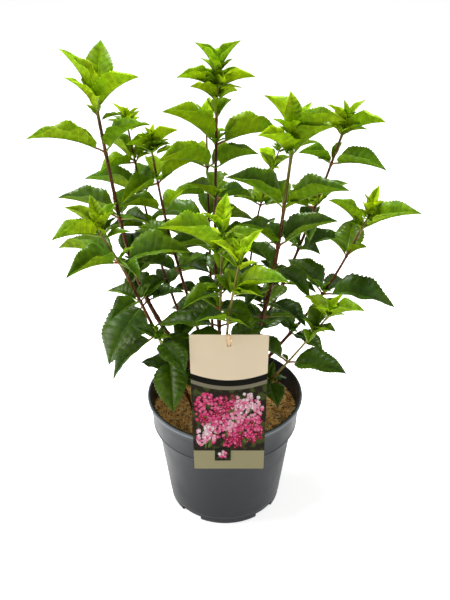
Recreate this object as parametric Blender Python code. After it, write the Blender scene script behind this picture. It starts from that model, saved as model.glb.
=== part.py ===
"""Panicle hydrangea in a round nursery pot, with its hanging label.

Fourteen canes rise from the substrate. Each is bare at its foot and ends in one leafy mass:
the cane's upper stem with its leaves fused on. Sizes are in millimetres until a mesh is made.
The origin is the middle of the pot's flat underside, +Z is up and -Y is the front.
"""

import random
from collections import namedtuple
from math import cos, pi, radians, sin, tan

import bmesh
import bpy
from mathutils import Matrix, Vector
from mathutils.bvhtree import BVHTree

MM = 0.001
CLEAR = 0.3  # gap kept between pieces that rest on each other

# The pot
POT_HEIGHT = 157
LIP_RADIUS = 95
COLLAR_TOP_RADIUS = 92
COLLAR_FOOT_RADIUS = 89
BODY_TOP_RADIUS = 84
BODY_FOOT_RADIUS = 71
FOOT_RADIUS = 68.5
FOOT_ROUND = 2
COLLAR_HEIGHT = 40
STEP_HEIGHT = POT_HEIGHT - COLLAR_HEIGHT
COLLAR_TOP_HEIGHT = POT_HEIGHT - 6
BODY_FOOT_HEIGHT = 12
FOOT_ROUND_TOP = 14
INNER_STEP = 3
POT_WALL = 1.8
POT_FLOOR = 8
POT_STEPS = 36
POT_SMOOTH = 30
NOTCH_WIDTH = 29
NOTCH_HEIGHT = 5
NOTCH_DEPTH = 16
NOTCH_TURNS = (52, 136, 232, 316)

# The substrate
SOIL_TOP = 135
SOIL_EDGE_ROUND = 3

# The card label and the stick it hangs on
LABEL_LENGTH = 158
LABEL_TOP_WIDTH = 89
LABEL_FOOT_WIDTH = 79
LABEL_THICK = 0.9
LABEL_LEAN = 19
LABEL_TOP_HEIGHT = 275
LABEL_MIDDLE = 4.5
SLOT_WIDTH = 5
SLOT_LENGTH = 9
SLOT_BELOW_TOP = 9
SLOT_REACH = 8 * LABEL_THICK
STICK_THICK = 3.6
STICK_LEAN = 14
STICK_ABOVE_SLOT = 13
STICK_SIDES = 8
STICK_STATIONS = (0.1, 0.96)
STICK_TOP_SHARE = 0.6
STICK_SMOOTH = 40

# The canes
CANE_SIDES = 5
CANE_STEPS = 7
CANE_SMOOTH = 40
FLARE = 1.4
FLARE_HEIGHT = 9
TIP_SHARE = 0.56
BARE_BELOW_LEAVES = 0.05

# The leaves
PETIOLE_SHARE = 0.13
PETIOLE_THICK = 1.8
BLADE_STATIONS = (0.16, 0.42, 0.74)
YOUNG_STATIONS = (0.25, 0.65)
BLADE_RATIO = 0.62
YOUNG_RATIO = 0.42
MIDRIB_SHARE = 0.022
ARCH = 0.09
FOLD_LOW = 16
FOLD_HIGH = 58
FOLD_LOW_HEIGHT = 200
FOLD_HIGH_HEIGHT = 430
YOUNG_FOLD = 34
BUD_PAIRS = ((1.0, 50, 0), (0.72, 68, 90))
BUD_SPACING = 7
# The blade's half width rises with its share to one power and falls with the rest to another
WIDTH_RISE = 0.6
WIDTH_FALL = 1.05
WIDEST = 0.3388

# A leaf that would touch another mass, or cross a blade of its own, is swung, raised and
# shortened in these steps
SWINGS = (0, 8, -8, 16, -16, 24, -24, 34, -34)
LIFTS = (0, 9, -9, 18, -18)
SHARES = (1.0, 0.88, 0.76)
KEEP_CLEAR = 0.7
BLADE_CLEAR = 0.25

# foot (x, y) on the substrate; knee and tip (x, y, z); thickness at the foot
# nodes: (share of the way up, leaf, leaf, ...), a leaf being (turn, rise, length)
# turn is measured from +X towards +Y; rise is above the level; bud: (turn, leaf length)
# a leaf may also state how far each half folds up and its width as a share of its blade
Cane = namedtuple("Cane", "foot knee tip thick nodes bud")

CANES = {
    "left_tall": Cane(
        (-24, 34), (-110, 40, 280), (-136, 35, 502), 6.4,
        (
            (0.40, (227, -42, 90, 4, 0.84), (13, 7, 46), (115, 5, 60)),
            (0.58, (270, 15, 58), (95, 10, 62)),
            (0.75, (181, 22, 74), (323, 10, 46), (80, 14, 56)),
            (0.92, (205, 19, 90), (339, 40, 62)),
            (1.00, (86, 54, 76, 20, 0.5), (358, 38, 64), (143, 48, 72, 50, 0.42), (205, 50, 50, 16)),
        ),
        (100, 40),
    ),
    "left_low": Cane(
        (-46, 14), (-108, -40, 350), (-126, -80, 414), 4.2,
        (
            (0.22, (196, -40, 74, 40, 0.5), (300, -20, 66)),
            (0.38, (58, 7, 50), (236, 4, 50), (150, 0, 46)),
            (0.68, (157, 2, 76), (226, 8, 70), (14, 2, 78), (306, -4, 42)),
            (0.96, (219, 14, 58), (69, 33, 42), (165, 36, 48)),
        ),
        (130, 40),
    ),
    "left_back": Cane(
        (-26, 54), (-88, 90, 305), (-115, 115, 463), 3.8,
        (
            (0.32, (190, -12, 54), (352, -16, 48), (95, -5, 56)),
            (0.49, (232, -23, 60), (30, -28, 44), (120, 5, 62)),
            (0.62, (200, 5, 56), (330, 0, 46)),
            (0.76, (181, 19, 72), (28, 40, 60), (85, 10, 66)),
            (0.88, (222, 0, 52), (60, 22, 54), (150, 25, 56)),
        ),
        (166, 28),
    ),
    "left_mid": Cane(
        (-12, 40), (-67, 40, 355), (-80, 25, 468), 4.2,
        (
            (0.20, (250, -8, 54), (68, -5, 50)),
            (0.36, (178, 14, 50), (319, 18, 50), (70, 0, 50)),
            (0.52, (146, 0, 50), (340, -10, 52), (245, 5, 46)),
            (0.68, (60, 5, 46), (200, 15, 52)),
            (0.83, (230, -5, 58), (13, 26, 58), (110, 15, 50)),
            (0.97, (341, 42, 42), (221, 26, 36)),
        ),
        (75, 26),
    ),
    "mid_tall": Cane(
        (0, 28), (-13, 20, 306), (-8, 30, 540), 4.8,
        (
            (0.30, (172, -4, 62), (350, -4, 60)),
            (0.46, (262, 5, 56), (80, 5, 56), (5, 0, 54)),
            (0.60, (165, 5, 62), (335, -2, 62), (250, 12, 46)),
            (0.75, (216, 38, 46), (31, -8, 48), (100, 10, 56)),
            (0.83, (212, 18, 74), (336, 26, 56)),
            (0.88, (205, 37, 76), (22, 2, 78)),
            (0.93, (258, 42, 40), (60, 20, 34)),
            (0.96, (212, 33, 38), (50, 5, 34)),
            (0.98, (198, 20, 46), (10, 14, 42), (290, 30, 30)),
            (1.00, (170, 55, 40), (22, 52, 42)),
        ),
        (260, 34),
    ),
    "mid_back": Cane(
        (-14, 62), (-19, 95, 297), (-22, 125, 452), 4.0,
        (
            (0.24, (182, -12, 56), (2, -12, 56)),
            (0.43, (132, -13, 56), (47, -14, 60)),
            (0.55, (225, 0, 52), (315, 0, 52)),
            (0.67, (169, -1, 74), (20, -8, 60), (90, 5, 66)),
            (0.78, (210, 10, 50), (330, 10, 50), (60, 12, 50)),
            (0.88, (116, 5, 58), (41, 8, 56), (200, 20, 44)),
        ),
        (90, 42),
    ),
    "mid_front": Cane(
        (-10, 4), (-5, -35, 300), (-3, -65, 405), 4.0,
        (
            (0.39, (183, 2, 74, 14, 0.66), (14, -4, 56)),
            (0.51, (150, 8, 46), (325, -2, 46)),
            (0.63, (222, 5, 54), (60, -7, 44)),
            (0.77, (95, 8, 48), (285, 0, 40)),
            (0.90, (207, 34, 84), (316, 44, 38), (20, 25, 50)),
        ),
        (262, 46),
    ),
    "front": Cane(
        (4, -8), (0, -48, 275), (14, -98, 388), 3.8,
        (
            (0.44, (172, 8, 48), (30, 14, 46)),
            (0.62, (216, 20, 46), (40, -2, 52), (324, 14, 44)),
            (0.83, (332, 27, 72), (110, 11, 58), (305, 18, 42)),
        ),
        (20, 42),
    ),
    "right_thick": Cane(
        (12, 14), (55, 5, 294), (70, -15, 490), 6.0,
        (
            (0.27, (232, -8, 58), (52, -2, 56)),
            (0.35, (0, -6, 58), (180, 4, 48)),
            (0.42, (314, -2, 62), (148, -4, 44)),
            (0.50, (235, 0, 50), (45, 6, 50)),
            (0.59, (312, -10, 58), (123, 19, 52)),
            (0.70, (4, 24, 72), (192, 36, 56), (85, 5, 50)),
            (0.83, (190, 33, 76), (342, 24, 76), (95, 12, 52)),
            (0.96, (222, 36, 60), (335, 42, 58)),
            (1.00, (130, 35, 56), (322, 25, 58), (105, 58, 46, 20, 0.5)),
        ),
        (215, 46),
    ),
    "right_back": Cane(
        (20, 60), (34, 110, 333), (68, 150, 416), 3.2,
        (
            (0.30, (150, -6, 54), (330, -10, 50)),
            (0.50, (60, -8, 54), (190, -4, 46)),
            (0.67, (137, -4, 46), (30, -8, 46), (90, 8, 52)),
            (0.88, (167, 58, 28), (41, 18, 34), (80, 20, 44)),
        ),
        (120, 30),
    ),
    "right_tall": Cane(
        (10, 48), (85, 85, 285), (136, 75, 474), 4.8,
        (
            (0.24, (20, -15, 56), (200, -10, 50)),
            (0.40, (85, -10, 56), (225, -8, 52), (330, 0, 46)),
            (0.58, (12, 8, 60), (310, 12, 38), (112, 10, 50)),
            (0.67, (270, 8, 44), (70, 8, 52)),
            (0.76, (37, 19, 56), (194, 10, 62), (100, 5, 60)),
            (0.90, (198, 24, 46), (325, 7, 70), (60, 30, 34)),
            (0.97, (331, 26, 56), (197, 44, 30), (90, 35, 40)),
        ),
        (10, 34),
    ),
    "right_far": Cane(
        (18, 34), (118, 32, 270), (157, -5, 399), 4.4,
        (
            (0.27, (316, -4, 52), (130, 20, 44)),
            (0.55, (137, 18, 66), (340, 0, 86), (45, -8, 54)),
            (0.81, (168, 45, 28), (322, 38, 32), (76, 24, 56, 12)),
            (0.94, (339, 25, 70), (179, 42, 52)),
        ),
        (60, 36),
    ),
    "right_low": Cane(
        (24, 2), (64, -40, 215), (109, -95, 327), 3.6,
        (
            (0.30, (282, -6, 44), (45, -20, 34)),
            (0.60, (157, 14, 68), (335, 4, 70)),
            (0.88, (190, 60, 24), (312, 30, 36), (272, 16, 36), (50, 40, 46)),
            (0.98, (325, 29, 48), (123, 10, 40)),
        ),
        (40, 28),
    ),
    "left_short": Cane(
        (-40, -8), (-55, -30, 210), (-76, -40, 262), 3.4,
        (
            (0.50, (120, -4, 50), (322, -18, 46)),
            (0.75, (276, -36, 66, 14), (116, 2, 50)),
            (0.97, (304, -16, 56, 14), (150, 12, 36)),
        ),
        (70, 20),
    ),
}

# Colour, roughness and metallic value of each kind of piece
FINISHES = {
    "pot": ((0.12, 0.12, 0.13), 0.45, 0.0),
    "soil": ((0.30, 0.17, 0.07), 0.95, 0.0),
    "card": ((0.72, 0.60, 0.48), 0.55, 0.0),
    "stick": ((0.70, 0.47, 0.25), 0.70, 0.0),
    "bark": ((0.12, 0.04, 0.03), 0.50, 0.0),
    "leaf": ((0.13, 0.30, 0.03), 0.40, 0.0),
}


def clear_scene():
    """Takes every object out of the scene."""
    for item in list(bpy.data.objects):
        bpy.data.objects.remove(item, do_unlink=True)


def finish_of(name, kind):
    """A material of the piece's own, in the colour of its kind."""
    colour, roughness, metallic = FINISHES[kind]
    material = bpy.data.materials.new(name)
    material.use_nodes = True
    surface = material.node_tree.nodes["Principled BSDF"]
    surface.inputs["Base Color"].default_value = (*colour, 1)
    surface.inputs["Roughness"].default_value = roughness
    surface.inputs["Metallic"].default_value = metallic
    material.diffuse_color = (*colour, 1)
    return material


def placed(name, kind, form, smooth_angle=None):
    """Makes the object of one piece from a bmesh in millimetres."""
    form.transform(Matrix.Scale(MM, 4))
    mesh = bpy.data.meshes.new(name)
    form.to_mesh(mesh)
    form.free()
    if smooth_angle:
        mesh.shade_smooth()
        mesh.set_sharp_from_angle(angle=radians(smooth_angle))
    mesh.materials.append(finish_of(name, kind))
    piece = bpy.data.objects.new(name, mesh)
    bpy.context.scene.collection.objects.link(piece)
    return piece


def turned(profile, steps):
    """A solid turned about +Z from (radius, height) points that start and end on the axis."""
    form = bmesh.new()
    verts = [form.verts.new((radius, 0, height)) for radius, height in profile]
    edges = [form.edges.new(pair) for pair in zip(verts, verts[1:])]
    bmesh.ops.spin(
        form,
        geom=verts + edges,
        axis=(0, 0, 1),
        cent=(0, 0, 0),
        angle=2 * pi,
        steps=steps,
        use_merge=True,
    )
    bmesh.ops.remove_doubles(form, verts=form.verts, dist=0.001)
    bmesh.ops.recalc_face_normals(form, faces=form.faces)
    return form


def drawn(rings):
    """A closed skin through rings of points: the first ring is filled, then drawn on."""
    form = bmesh.new()
    first = form.faces.new([form.verts.new(point) for point in rings[0]])
    face = first
    for ring in rings[1:]:
        grown = bmesh.ops.extrude_face_region(form, geom=[face])["geom"]
        if face.is_valid and face != first:
            form.faces.remove(face)
        face = next(part for part in grown if isinstance(part, bmesh.types.BMFace))
        for vert, point in zip(face.verts, ring):
            vert.co = point
    bmesh.ops.remove_doubles(form, verts=form.verts, dist=0.001)
    bmesh.ops.recalc_face_normals(form, faces=form.faces)
    return form


def cutter(name, form):
    """A hidden guide object that a Boolean takes away or adds."""
    guide = placed(name, "pot", form)
    guide.hide_render = True
    guide.display_type = "WIRE"
    return guide


def cut_away(piece, guide):
    """Takes the guide's shape out of the piece."""
    change = piece.modifiers.new(guide.name, "BOOLEAN")
    change.operation = "DIFFERENCE"
    change.object = guide


def pot_inner_radius(height):
    """Radius of the inside of the pot's wall at a height above the floor."""
    if height <= STEP_HEIGHT - INNER_STEP:
        share = (height - BODY_FOOT_HEIGHT) / (STEP_HEIGHT - BODY_FOOT_HEIGHT)
        outer = BODY_FOOT_RADIUS + (BODY_TOP_RADIUS - BODY_FOOT_RADIUS) * share
    else:
        share = (height - STEP_HEIGHT) / (COLLAR_TOP_HEIGHT - STEP_HEIGHT)
        outer = COLLAR_FOOT_RADIUS + (COLLAR_TOP_RADIUS - COLLAR_FOOT_RADIUS) * share
    return outer - POT_WALL


def make_pot():
    """A turned pot: rounded foot, tapered body, stepped collar and a rounded lip."""
    profile = (
        (0, 0),
        (FOOT_RADIUS, 0),
        (FOOT_RADIUS + 1.2, 1.2),
        (BODY_FOOT_RADIUS - 0.4, POT_FLOOR),
        (BODY_FOOT_RADIUS + 0.3, FOOT_ROUND_TOP),
        (BODY_TOP_RADIUS, STEP_HEIGHT - 1.2),
        (COLLAR_FOOT_RADIUS, STEP_HEIGHT),
        (COLLAR_TOP_RADIUS, COLLAR_TOP_HEIGHT),
        (LIP_RADIUS - 1, POT_HEIGHT - 4.6),
        (LIP_RADIUS, POT_HEIGHT - 2.2),
        (LIP_RADIUS - 1.6, POT_HEIGHT),
        (LIP_RADIUS - 4.4, POT_HEIGHT - 0.6),
        (pot_inner_radius(COLLAR_TOP_HEIGHT), COLLAR_TOP_HEIGHT),
        (pot_inner_radius(STEP_HEIGHT), STEP_HEIGHT),
        (pot_inner_radius(STEP_HEIGHT - INNER_STEP), STEP_HEIGHT - INNER_STEP),
        (pot_inner_radius(FOOT_ROUND_TOP), FOOT_ROUND_TOP),
        (FOOT_RADIUS - FOOT_ROUND, POT_FLOOR),
        (0, POT_FLOOR),
    )
    pot = placed("pot", "pot", turned(profile, POT_STEPS), POT_SMOOTH)
    for turn in NOTCH_TURNS:
        block = bmesh.new()
        bmesh.ops.create_cube(block, size=1)
        size = Matrix.Diagonal((2 * NOTCH_DEPTH, NOTCH_WIDTH, 2 * NOTCH_HEIGHT, 1))
        place = Matrix.Rotation(radians(turn), 4, "Z") @ Matrix.Translation((BODY_FOOT_RADIUS + 2, 0, 0))
        block.transform(place @ size)
        cut_away(pot, cutter(f"notch_{turn}", block))
    return pot


def make_soil():
    """The substrate that fills the pot, flat on top."""
    low = POT_FLOOR + CLEAR
    shoulder = STEP_HEIGHT - INNER_STEP
    profile = (
        (0, low),
        (FOOT_RADIUS - FOOT_ROUND - CLEAR, low),
        (pot_inner_radius(FOOT_ROUND_TOP) - CLEAR, FOOT_ROUND_TOP + CLEAR),
        (pot_inner_radius(shoulder) - CLEAR, shoulder + CLEAR),
        (pot_inner_radius(STEP_HEIGHT) - CLEAR, STEP_HEIGHT + CLEAR),
        (pot_inner_radius(SOIL_TOP) - CLEAR, SOIL_TOP - 1),
        (pot_inner_radius(SOIL_TOP) - SOIL_EDGE_ROUND, SOIL_TOP),
        (0, SOIL_TOP),
    )
    return placed("substrate", "soil", turned(profile, POT_STEPS), POT_SMOOTH)


def label_point(across, down):
    """A point on the label's middle plane, measured from the middle of its top edge."""
    lean = radians(LABEL_LEAN)
    rim_front = -(LIP_RADIUS + LABEL_THICK / 2 / cos(lean) + CLEAR)
    top_y = rim_front + (LABEL_TOP_HEIGHT - POT_HEIGHT + 2) * tan(lean)
    return Vector((LABEL_MIDDLE + across, top_y - down * sin(lean), LABEL_TOP_HEIGHT - down * cos(lean)))


def stick_line():
    """The stick's foot and top: it leans forward through the label's slot."""
    lean = radians(STICK_LEAN)
    along = Vector((0, -sin(lean), cos(lean)))
    slot = label_point(0, SLOT_BELOW_TOP)
    foot = slot - along * ((slot.z - SOIL_TOP - CLEAR) / along.z)
    return foot, slot + along * STICK_ABOVE_SLOT


def make_label():
    """The tapered card with a slot for its stick, leaning on the pot's lip."""
    lean = radians(LABEL_LEAN)
    out = Vector((0, cos(lean), -sin(lean))) * LABEL_THICK / 2
    rings = []
    for down, width in ((0, LABEL_TOP_WIDTH), (LABEL_LENGTH, LABEL_FOOT_WIDTH)):
        ring = []
        for side, face in ((-1, -1), (1, -1), (1, 1), (-1, 1)):
            ring.append(label_point(side * width / 2, down) + out * face)
        rings.append(ring)
    label = placed("label", "card", drawn(rings))
    slot = bmesh.new()
    bmesh.ops.create_cube(slot, size=1)
    size = Matrix.Diagonal((SLOT_WIDTH, SLOT_REACH, SLOT_LENGTH, 1))
    place = Matrix.Translation(label_point(0, SLOT_BELOW_TOP)) @ Matrix.Rotation(-lean, 4, "X")
    slot.transform(place @ size)
    cut_away(label, cutter("slot", slot))
    return label


def ring_about(centre, along, radius, sides):
    """Points of a ring square to a direction."""
    side = along.cross(Vector((0, 1, 0))).normalized()
    other = along.cross(side)
    return [
        centre + (side * cos(2 * pi * k / sides) + other * sin(2 * pi * k / sides)) * radius
        for k in range(sides)
    ]


def make_stick():
    """The pale split stick that carries the label."""
    foot, top = stick_line()
    along = (top - foot).normalized()
    radius = STICK_THICK / 2
    rings = [ring_about(foot, Vector((0, 0, 1)), radius, STICK_SIDES)]
    for share in STICK_STATIONS:
        rings.append(ring_about(foot.lerp(top, share), along, radius, STICK_SIDES))
    rings.append(ring_about(top, along, radius * STICK_TOP_SHARE, STICK_SIDES))
    return placed("label_stick", "stick", drawn(rings), STICK_SMOOTH)


def cane_point(cane, share):
    """A point of the cane's curve, drawn from foot to tip towards its knee."""
    foot = Vector((*cane.foot, SOIL_TOP + CLEAR))
    rest = 1 - share
    knee_weight = 3 * share * rest
    return foot * rest**3 + Vector(cane.knee) * knee_weight + Vector(cane.tip) * share**3


def cane_along(cane, share):
    """The cane's direction at a share of the way up."""
    step = 0.002
    ahead = cane_point(cane, min(share + step, 1))
    return (ahead - cane_point(cane, max(share - step, 0))).normalized()


def cane_radius(cane, share):
    """Half the cane's thickness: a flared foot, then an even taper."""
    height = cane_point(cane, share).z - SOIL_TOP
    flare = (FLARE - 1) * max(0, 1 - height / FLARE_HEIGHT) ** 2
    return cane.thick / 2 * (1 + flare) * (1 - (1 - TIP_SHARE) * share)


def stem_form(cane, start, end, extra=0.0):
    """The stretch of a cane between two shares of its way up."""
    rings = []
    for k in range(CANE_STEPS + 1):
        share = start + (end - start) * k / CANE_STEPS
        along = Vector((0, 0, 1)) if share == 0 else cane_along(cane, share)
        radius = cane_radius(cane, share) + extra
        rings.append(ring_about(cane_point(cane, share), along, radius, CANE_SIDES))
    return drawn(rings)


def leafy_from(cane):
    """The share of the way up where the bare cane ends and the leafy stem starts."""
    return cane.nodes[0][0] - BARE_BELOW_LEAVES


def blade_width(share, ratio):
    """Half width of a blade at a share of its length, as a share of that length."""
    return ratio / 2 * share**WIDTH_RISE * (1 - share) ** WIDTH_FALL / WIDEST


def leaf_form(leaf, extra=0.0, blade_only=False):
    """A folded, arching blade on its petiole: a four-cornered skin drawn along the midrib."""
    reach = Vector((cos(leaf.turn) * cos(leaf.rise), sin(leaf.turn) * cos(leaf.rise), sin(leaf.rise)))
    side = Vector((-sin(leaf.turn), cos(leaf.turn), 0))
    side = Matrix.Rotation(leaf.roll, 3, reach) @ side
    up = reach.cross(side)
    blade_start = PETIOLE_SHARE * leaf.length
    blade = leaf.length - blade_start
    stations = [(0, PETIOLE_THICK / 2, PETIOLE_THICK), (blade_start, PETIOLE_THICK / 2, PETIOLE_THICK)]
    for share in YOUNG_STATIONS if leaf.ratio == YOUNG_RATIO else BLADE_STATIONS:
        thick = MIDRIB_SHARE * leaf.length * (1.25 - share)
        stations.append((blade_start + blade * share, blade * blade_width(share, leaf.ratio), thick))
    stations.append((leaf.length + extra, 0, 0))
    if blade_only:
        stations = stations[2:]
    rings = []
    for place, half, thick in stations:
        share = place / leaf.length
        middle = leaf.root + reach * place + up * (4 * ARCH * leaf.length * share * max(0, 1 - share))
        fold = leaf.fold if place > blade_start else 0
        half += extra if half else 0
        thick += 2 * extra if thick else 0
        out = side * (half * cos(fold))
        raised = up * (half * sin(fold))
        rings.append((
            middle + out + raised,
            middle + up * (thick / 2),
            middle - out + raised,
            middle - up * (thick / 2),
        ))
    return drawn(rings)


Leaf = namedtuple("Leaf", "root turn rise length roll fold ratio")


def leaves_of(name, cane):
    """Every leaf of a cane in its first attitude: the leaves at its nodes, then its bud."""
    found = []
    for number, (share, *leaves) in enumerate(cane.nodes):
        for place, (turn, rise, length, *form) in enumerate(leaves):
            chance = random.Random(f"{name} node {number} leaf {place}")
            root = cane_point(cane, share)
            open_share = (root.z - FOLD_LOW_HEIGHT) / (FOLD_HIGH_HEIGHT - FOLD_LOW_HEIGHT)
            fold = FOLD_LOW + (FOLD_HIGH - FOLD_LOW) * min(1, max(0, open_share))
            fold = form[0] if form else fold
            ratio = form[1] if len(form) > 1 else BLADE_RATIO * chance.uniform(0.94, 1.06)
            found.append(Leaf(
                root, radians(turn), radians(rise), length,
                radians(chance.uniform(-12, 12)), radians(fold + chance.uniform(-6, 6)),
                ratio,
            ))
    turn, length = cane.bud
    tip = Vector(cane.tip)
    along = cane_along(cane, 1)
    for number, (share, rise, twist) in enumerate(BUD_PAIRS):
        for half in (0, 180):
            chance = random.Random(f"{name} bud {number} leaf {half}")
            found.append(Leaf(
                tip - along * (1 + BUD_SPACING * (len(BUD_PAIRS) - 1 - number) / 2),
                radians(turn + twist + half + chance.uniform(-14, 14)),
                radians(rise + chance.uniform(-6, 6)), length * share * chance.uniform(0.92, 1.08),
                radians(chance.uniform(-10, 10)), radians(YOUNG_FOLD + chance.uniform(-8, 8)),
                YOUNG_RATIO,
            ))
    return found


def attitudes(leaf):
    """The leaf as it first stands, then swung, raised and shortened little by little."""
    for share in SHARES:
        for lift in LIFTS:
            for swing in SWINGS:
                yield leaf._replace(
                    turn=leaf.turn + radians(swing),
                    rise=leaf.rise + radians(lift),
                    length=leaf.length * share,
                )


def skin_of(form):
    """The search tree of a form's faces; the form itself is let go."""
    tree = BVHTree.FromBMesh(form)
    form.free()
    return tree


def skin_of_piece(piece):
    """The search tree of a finished piece, in millimetres."""
    form = bmesh.new()
    form.from_mesh(piece.data)
    form.transform(Matrix.Scale(1 / MM, 4))
    return skin_of(form)


def place_leaves(fixed):
    """Chooses each leaf's attitude so that no two masses touch, and skips one with no room."""
    stems = {name: skin_of(stem_form(cane, 0, 1, KEEP_CLEAR)) for name, cane in CANES.items()}
    taken = {name: [] for name in CANES}
    chosen = {name: [] for name in CANES}
    for name, cane in CANES.items():
        others = fixed + [tree for other, tree in stems.items() if other != name]
        blades = []
        for leaf in leaves_of(name, cane):
            near = others + [t for other, trees in taken.items() if other != name for t in trees]
            spare = None
            for attitude in attitudes(leaf):
                tree = skin_of(leaf_form(attitude, KEEP_CLEAR))
                if any(tree.overlap(other) for other in near):
                    continue
                blade = skin_of(leaf_form(attitude, BLADE_CLEAR, True))
                spare = spare or (attitude, tree, blade)
                if not any(blade.overlap(other) for other in blades):
                    spare = (attitude, tree, blade)
                    break
            if spare:
                chosen[name].append(spare[0])
                taken[name].append(spare[1])
                blades.append(spare[2])
    return chosen


def keep_largest(mesh):
    """Drops every shell of a mesh but its largest, such as a pocket closed off between leaves."""
    form = bmesh.new()
    form.from_mesh(mesh)
    left = set(form.verts)
    shells = []
    while left:
        shell = set()
        front = {left.pop()}
        while front:
            shell |= front
            front = {edge.other_vert(vert) for vert in front for edge in vert.link_edges} - shell
        left -= shell
        shells.append(shell)
    largest = max(shells, key=len)
    stray = [vert for vert in form.verts if vert not in largest]
    bmesh.ops.delete(form, geom=stray, context="VERTS")
    form.to_mesh(mesh)
    form.free()


def fused(name, stem, leaves):
    """One solid of a leafy stem: its leaves are added to it by one Boolean union."""
    group = bpy.data.collections.new(name)
    for number, leaf in enumerate(leaves):
        guide = cutter(f"{name}_{number}", leaf_form(leaf))
        bpy.context.scene.collection.objects.unlink(guide)
        group.objects.link(guide)
    piece = placed(name, "leaf", stem)
    union = piece.modifiers.new("leaves", "BOOLEAN")
    union.operation = "UNION"
    union.operand_type = "COLLECTION"
    union.collection = group
    union.solver = "MANIFOLD"
    whole = bpy.data.meshes.new_from_object(piece.evaluated_get(bpy.context.evaluated_depsgraph_get()))
    whole.name = name
    keep_largest(whole)
    piece.modifiers.clear()
    piece.data = whole
    whole.materials.clear()
    whole.materials.append(finish_of(name, "leaf"))
    for guide in list(group.objects):
        bpy.data.objects.remove(guide, do_unlink=True)
    bpy.data.collections.remove(group)
    return piece


def make_canes(fixed):
    """Every cane: its bare foot, and the leafy mass that meets it a hair's breadth above."""
    chosen = place_leaves(fixed)
    for name, cane in CANES.items():
        split = leafy_from(cane)
        step = 0.01
        ahead = cane_point(cane, split + step)
        speed = (ahead - cane_point(cane, split - step)).length / (2 * step)
        placed(f"cane_{name}", "bark", stem_form(cane, 0, split), CANE_SMOOTH)
        fused(f"leaves_{name}", stem_form(cane, split + CLEAR / speed, 1), chosen[name])


def main():
    clear_scene()
    pieces = (make_pot(), make_soil(), make_label(), make_stick())
    bpy.context.view_layer.update()
    make_canes([skin_of_piece(piece) for piece in pieces])


main()
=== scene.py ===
# %% [markdown]
# # A young panicle hydrangea in its nursery pot
# The plant stands in a grey three litre pot: fourteen woody canes, each ending in a leafy
# shoot, with a printed card that hangs on a stick. The solids of the same plant are loaded
# first. They fix where every cane, leaf, the pot and the card are, and this lesson dresses
# them: finer leaves, bark, moulded plastic, coir and print, in the same places.

import random
from collections import namedtuple
from math import cos, pi, radians, sin, tan

import bmesh
import bpy
import numpy as np
from mathutils import Matrix, Vector
from mathutils.kdtree import KDTree


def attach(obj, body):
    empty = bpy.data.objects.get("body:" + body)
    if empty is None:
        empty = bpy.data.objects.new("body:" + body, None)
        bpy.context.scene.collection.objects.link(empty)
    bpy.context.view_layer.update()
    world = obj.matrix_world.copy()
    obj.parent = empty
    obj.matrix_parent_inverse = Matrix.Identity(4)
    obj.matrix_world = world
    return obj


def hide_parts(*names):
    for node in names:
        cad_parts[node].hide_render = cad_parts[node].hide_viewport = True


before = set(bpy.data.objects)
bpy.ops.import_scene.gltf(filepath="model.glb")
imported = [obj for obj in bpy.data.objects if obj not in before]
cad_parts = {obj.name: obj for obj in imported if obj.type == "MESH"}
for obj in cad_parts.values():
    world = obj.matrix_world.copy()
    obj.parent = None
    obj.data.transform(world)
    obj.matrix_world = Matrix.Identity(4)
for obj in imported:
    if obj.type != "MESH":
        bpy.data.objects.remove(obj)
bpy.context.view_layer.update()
MM = 0.001
CLEAR = 0.3

# %% [markdown]
# ## Meshes and objects
# Forms are built with bmesh operators, in millimetres, and end as meshes. Three small
# functions do what every later cell needs: they end a form, show an object, and read back
# the mesh of an object once its modifiers or its bevel are worked out.


# %% Meshes and objects
def mesh_of(name, form):
    """The mesh of a form, which ends here."""
    mesh = bpy.data.meshes.new(name)
    form.to_mesh(mesh)
    form.free()
    return mesh


def shown(name, data):
    """A new object of a mesh, curve, lamp or camera, linked to the scene."""
    made = bpy.data.objects.new(name, data)
    bpy.context.scene.collection.objects.link(made)
    return made


def worked_out(made):
    """The mesh of an object with its modifiers or its bevel applied."""
    bpy.context.view_layer.update()
    return bpy.data.meshes.new_from_object(made.evaluated_get(bpy.context.evaluated_depsgraph_get()))


# %% [markdown]
# ## Camera
# The plant was photographed from in front and about 31 degrees above the level. A lens of
# 52 mm on a 36 mm frame, one metre from the plant's middle, gives the same narrowing of the
# pot towards its foot.

# %% Camera
CAMERA_PLACE = Vector((0, -857, 803)) * MM
CAMERA_AIM = Vector((0, 0, 287)) * MM
LENS = 52

camera = shown("camera", bpy.data.cameras.new("camera"))
camera.data.lens = LENS
camera.location = CAMERA_PLACE
camera.rotation_euler = (CAMERA_AIM - CAMERA_PLACE).to_track_quat("-Z", "Y").to_euler()
bpy.context.scene.camera = camera
bpy.context.scene.view_settings.view_transform = "Standard"
print("camera distance", round((CAMERA_AIM - CAMERA_PLACE).length, 3), "m")

# %% [markdown]
# ## Light and floor
# The picture is high key: a white sweep of paper, a large soft light on the left that whitens
# the pot's left flank, a weaker one on the right, and light from above that makes the tops of
# the leaves shine. Big area lights and a white surround do this without hard shadows.

# %% Light and floor
FLOOR_SIZE = 12
LAMPS = (
    ("left_softbox", (-1.5, -0.1, 0.8), 0.9, 15),
    ("right_softbox", (1.6, 0.1, 0.8), 0.7, 4),
    ("top_softbox", (-0.25, 0.40, 1.9), 0.6, 50),
    ("front_fill", (0.3, -2.0, 1.9), 1.2, 8),
)
SURROUND = 0.16
PAPER = (0.93, 0.93, 0.93, 1)
PAPER_GLOW = 0.72
WHITE = (1, 1, 1, 1)


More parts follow.
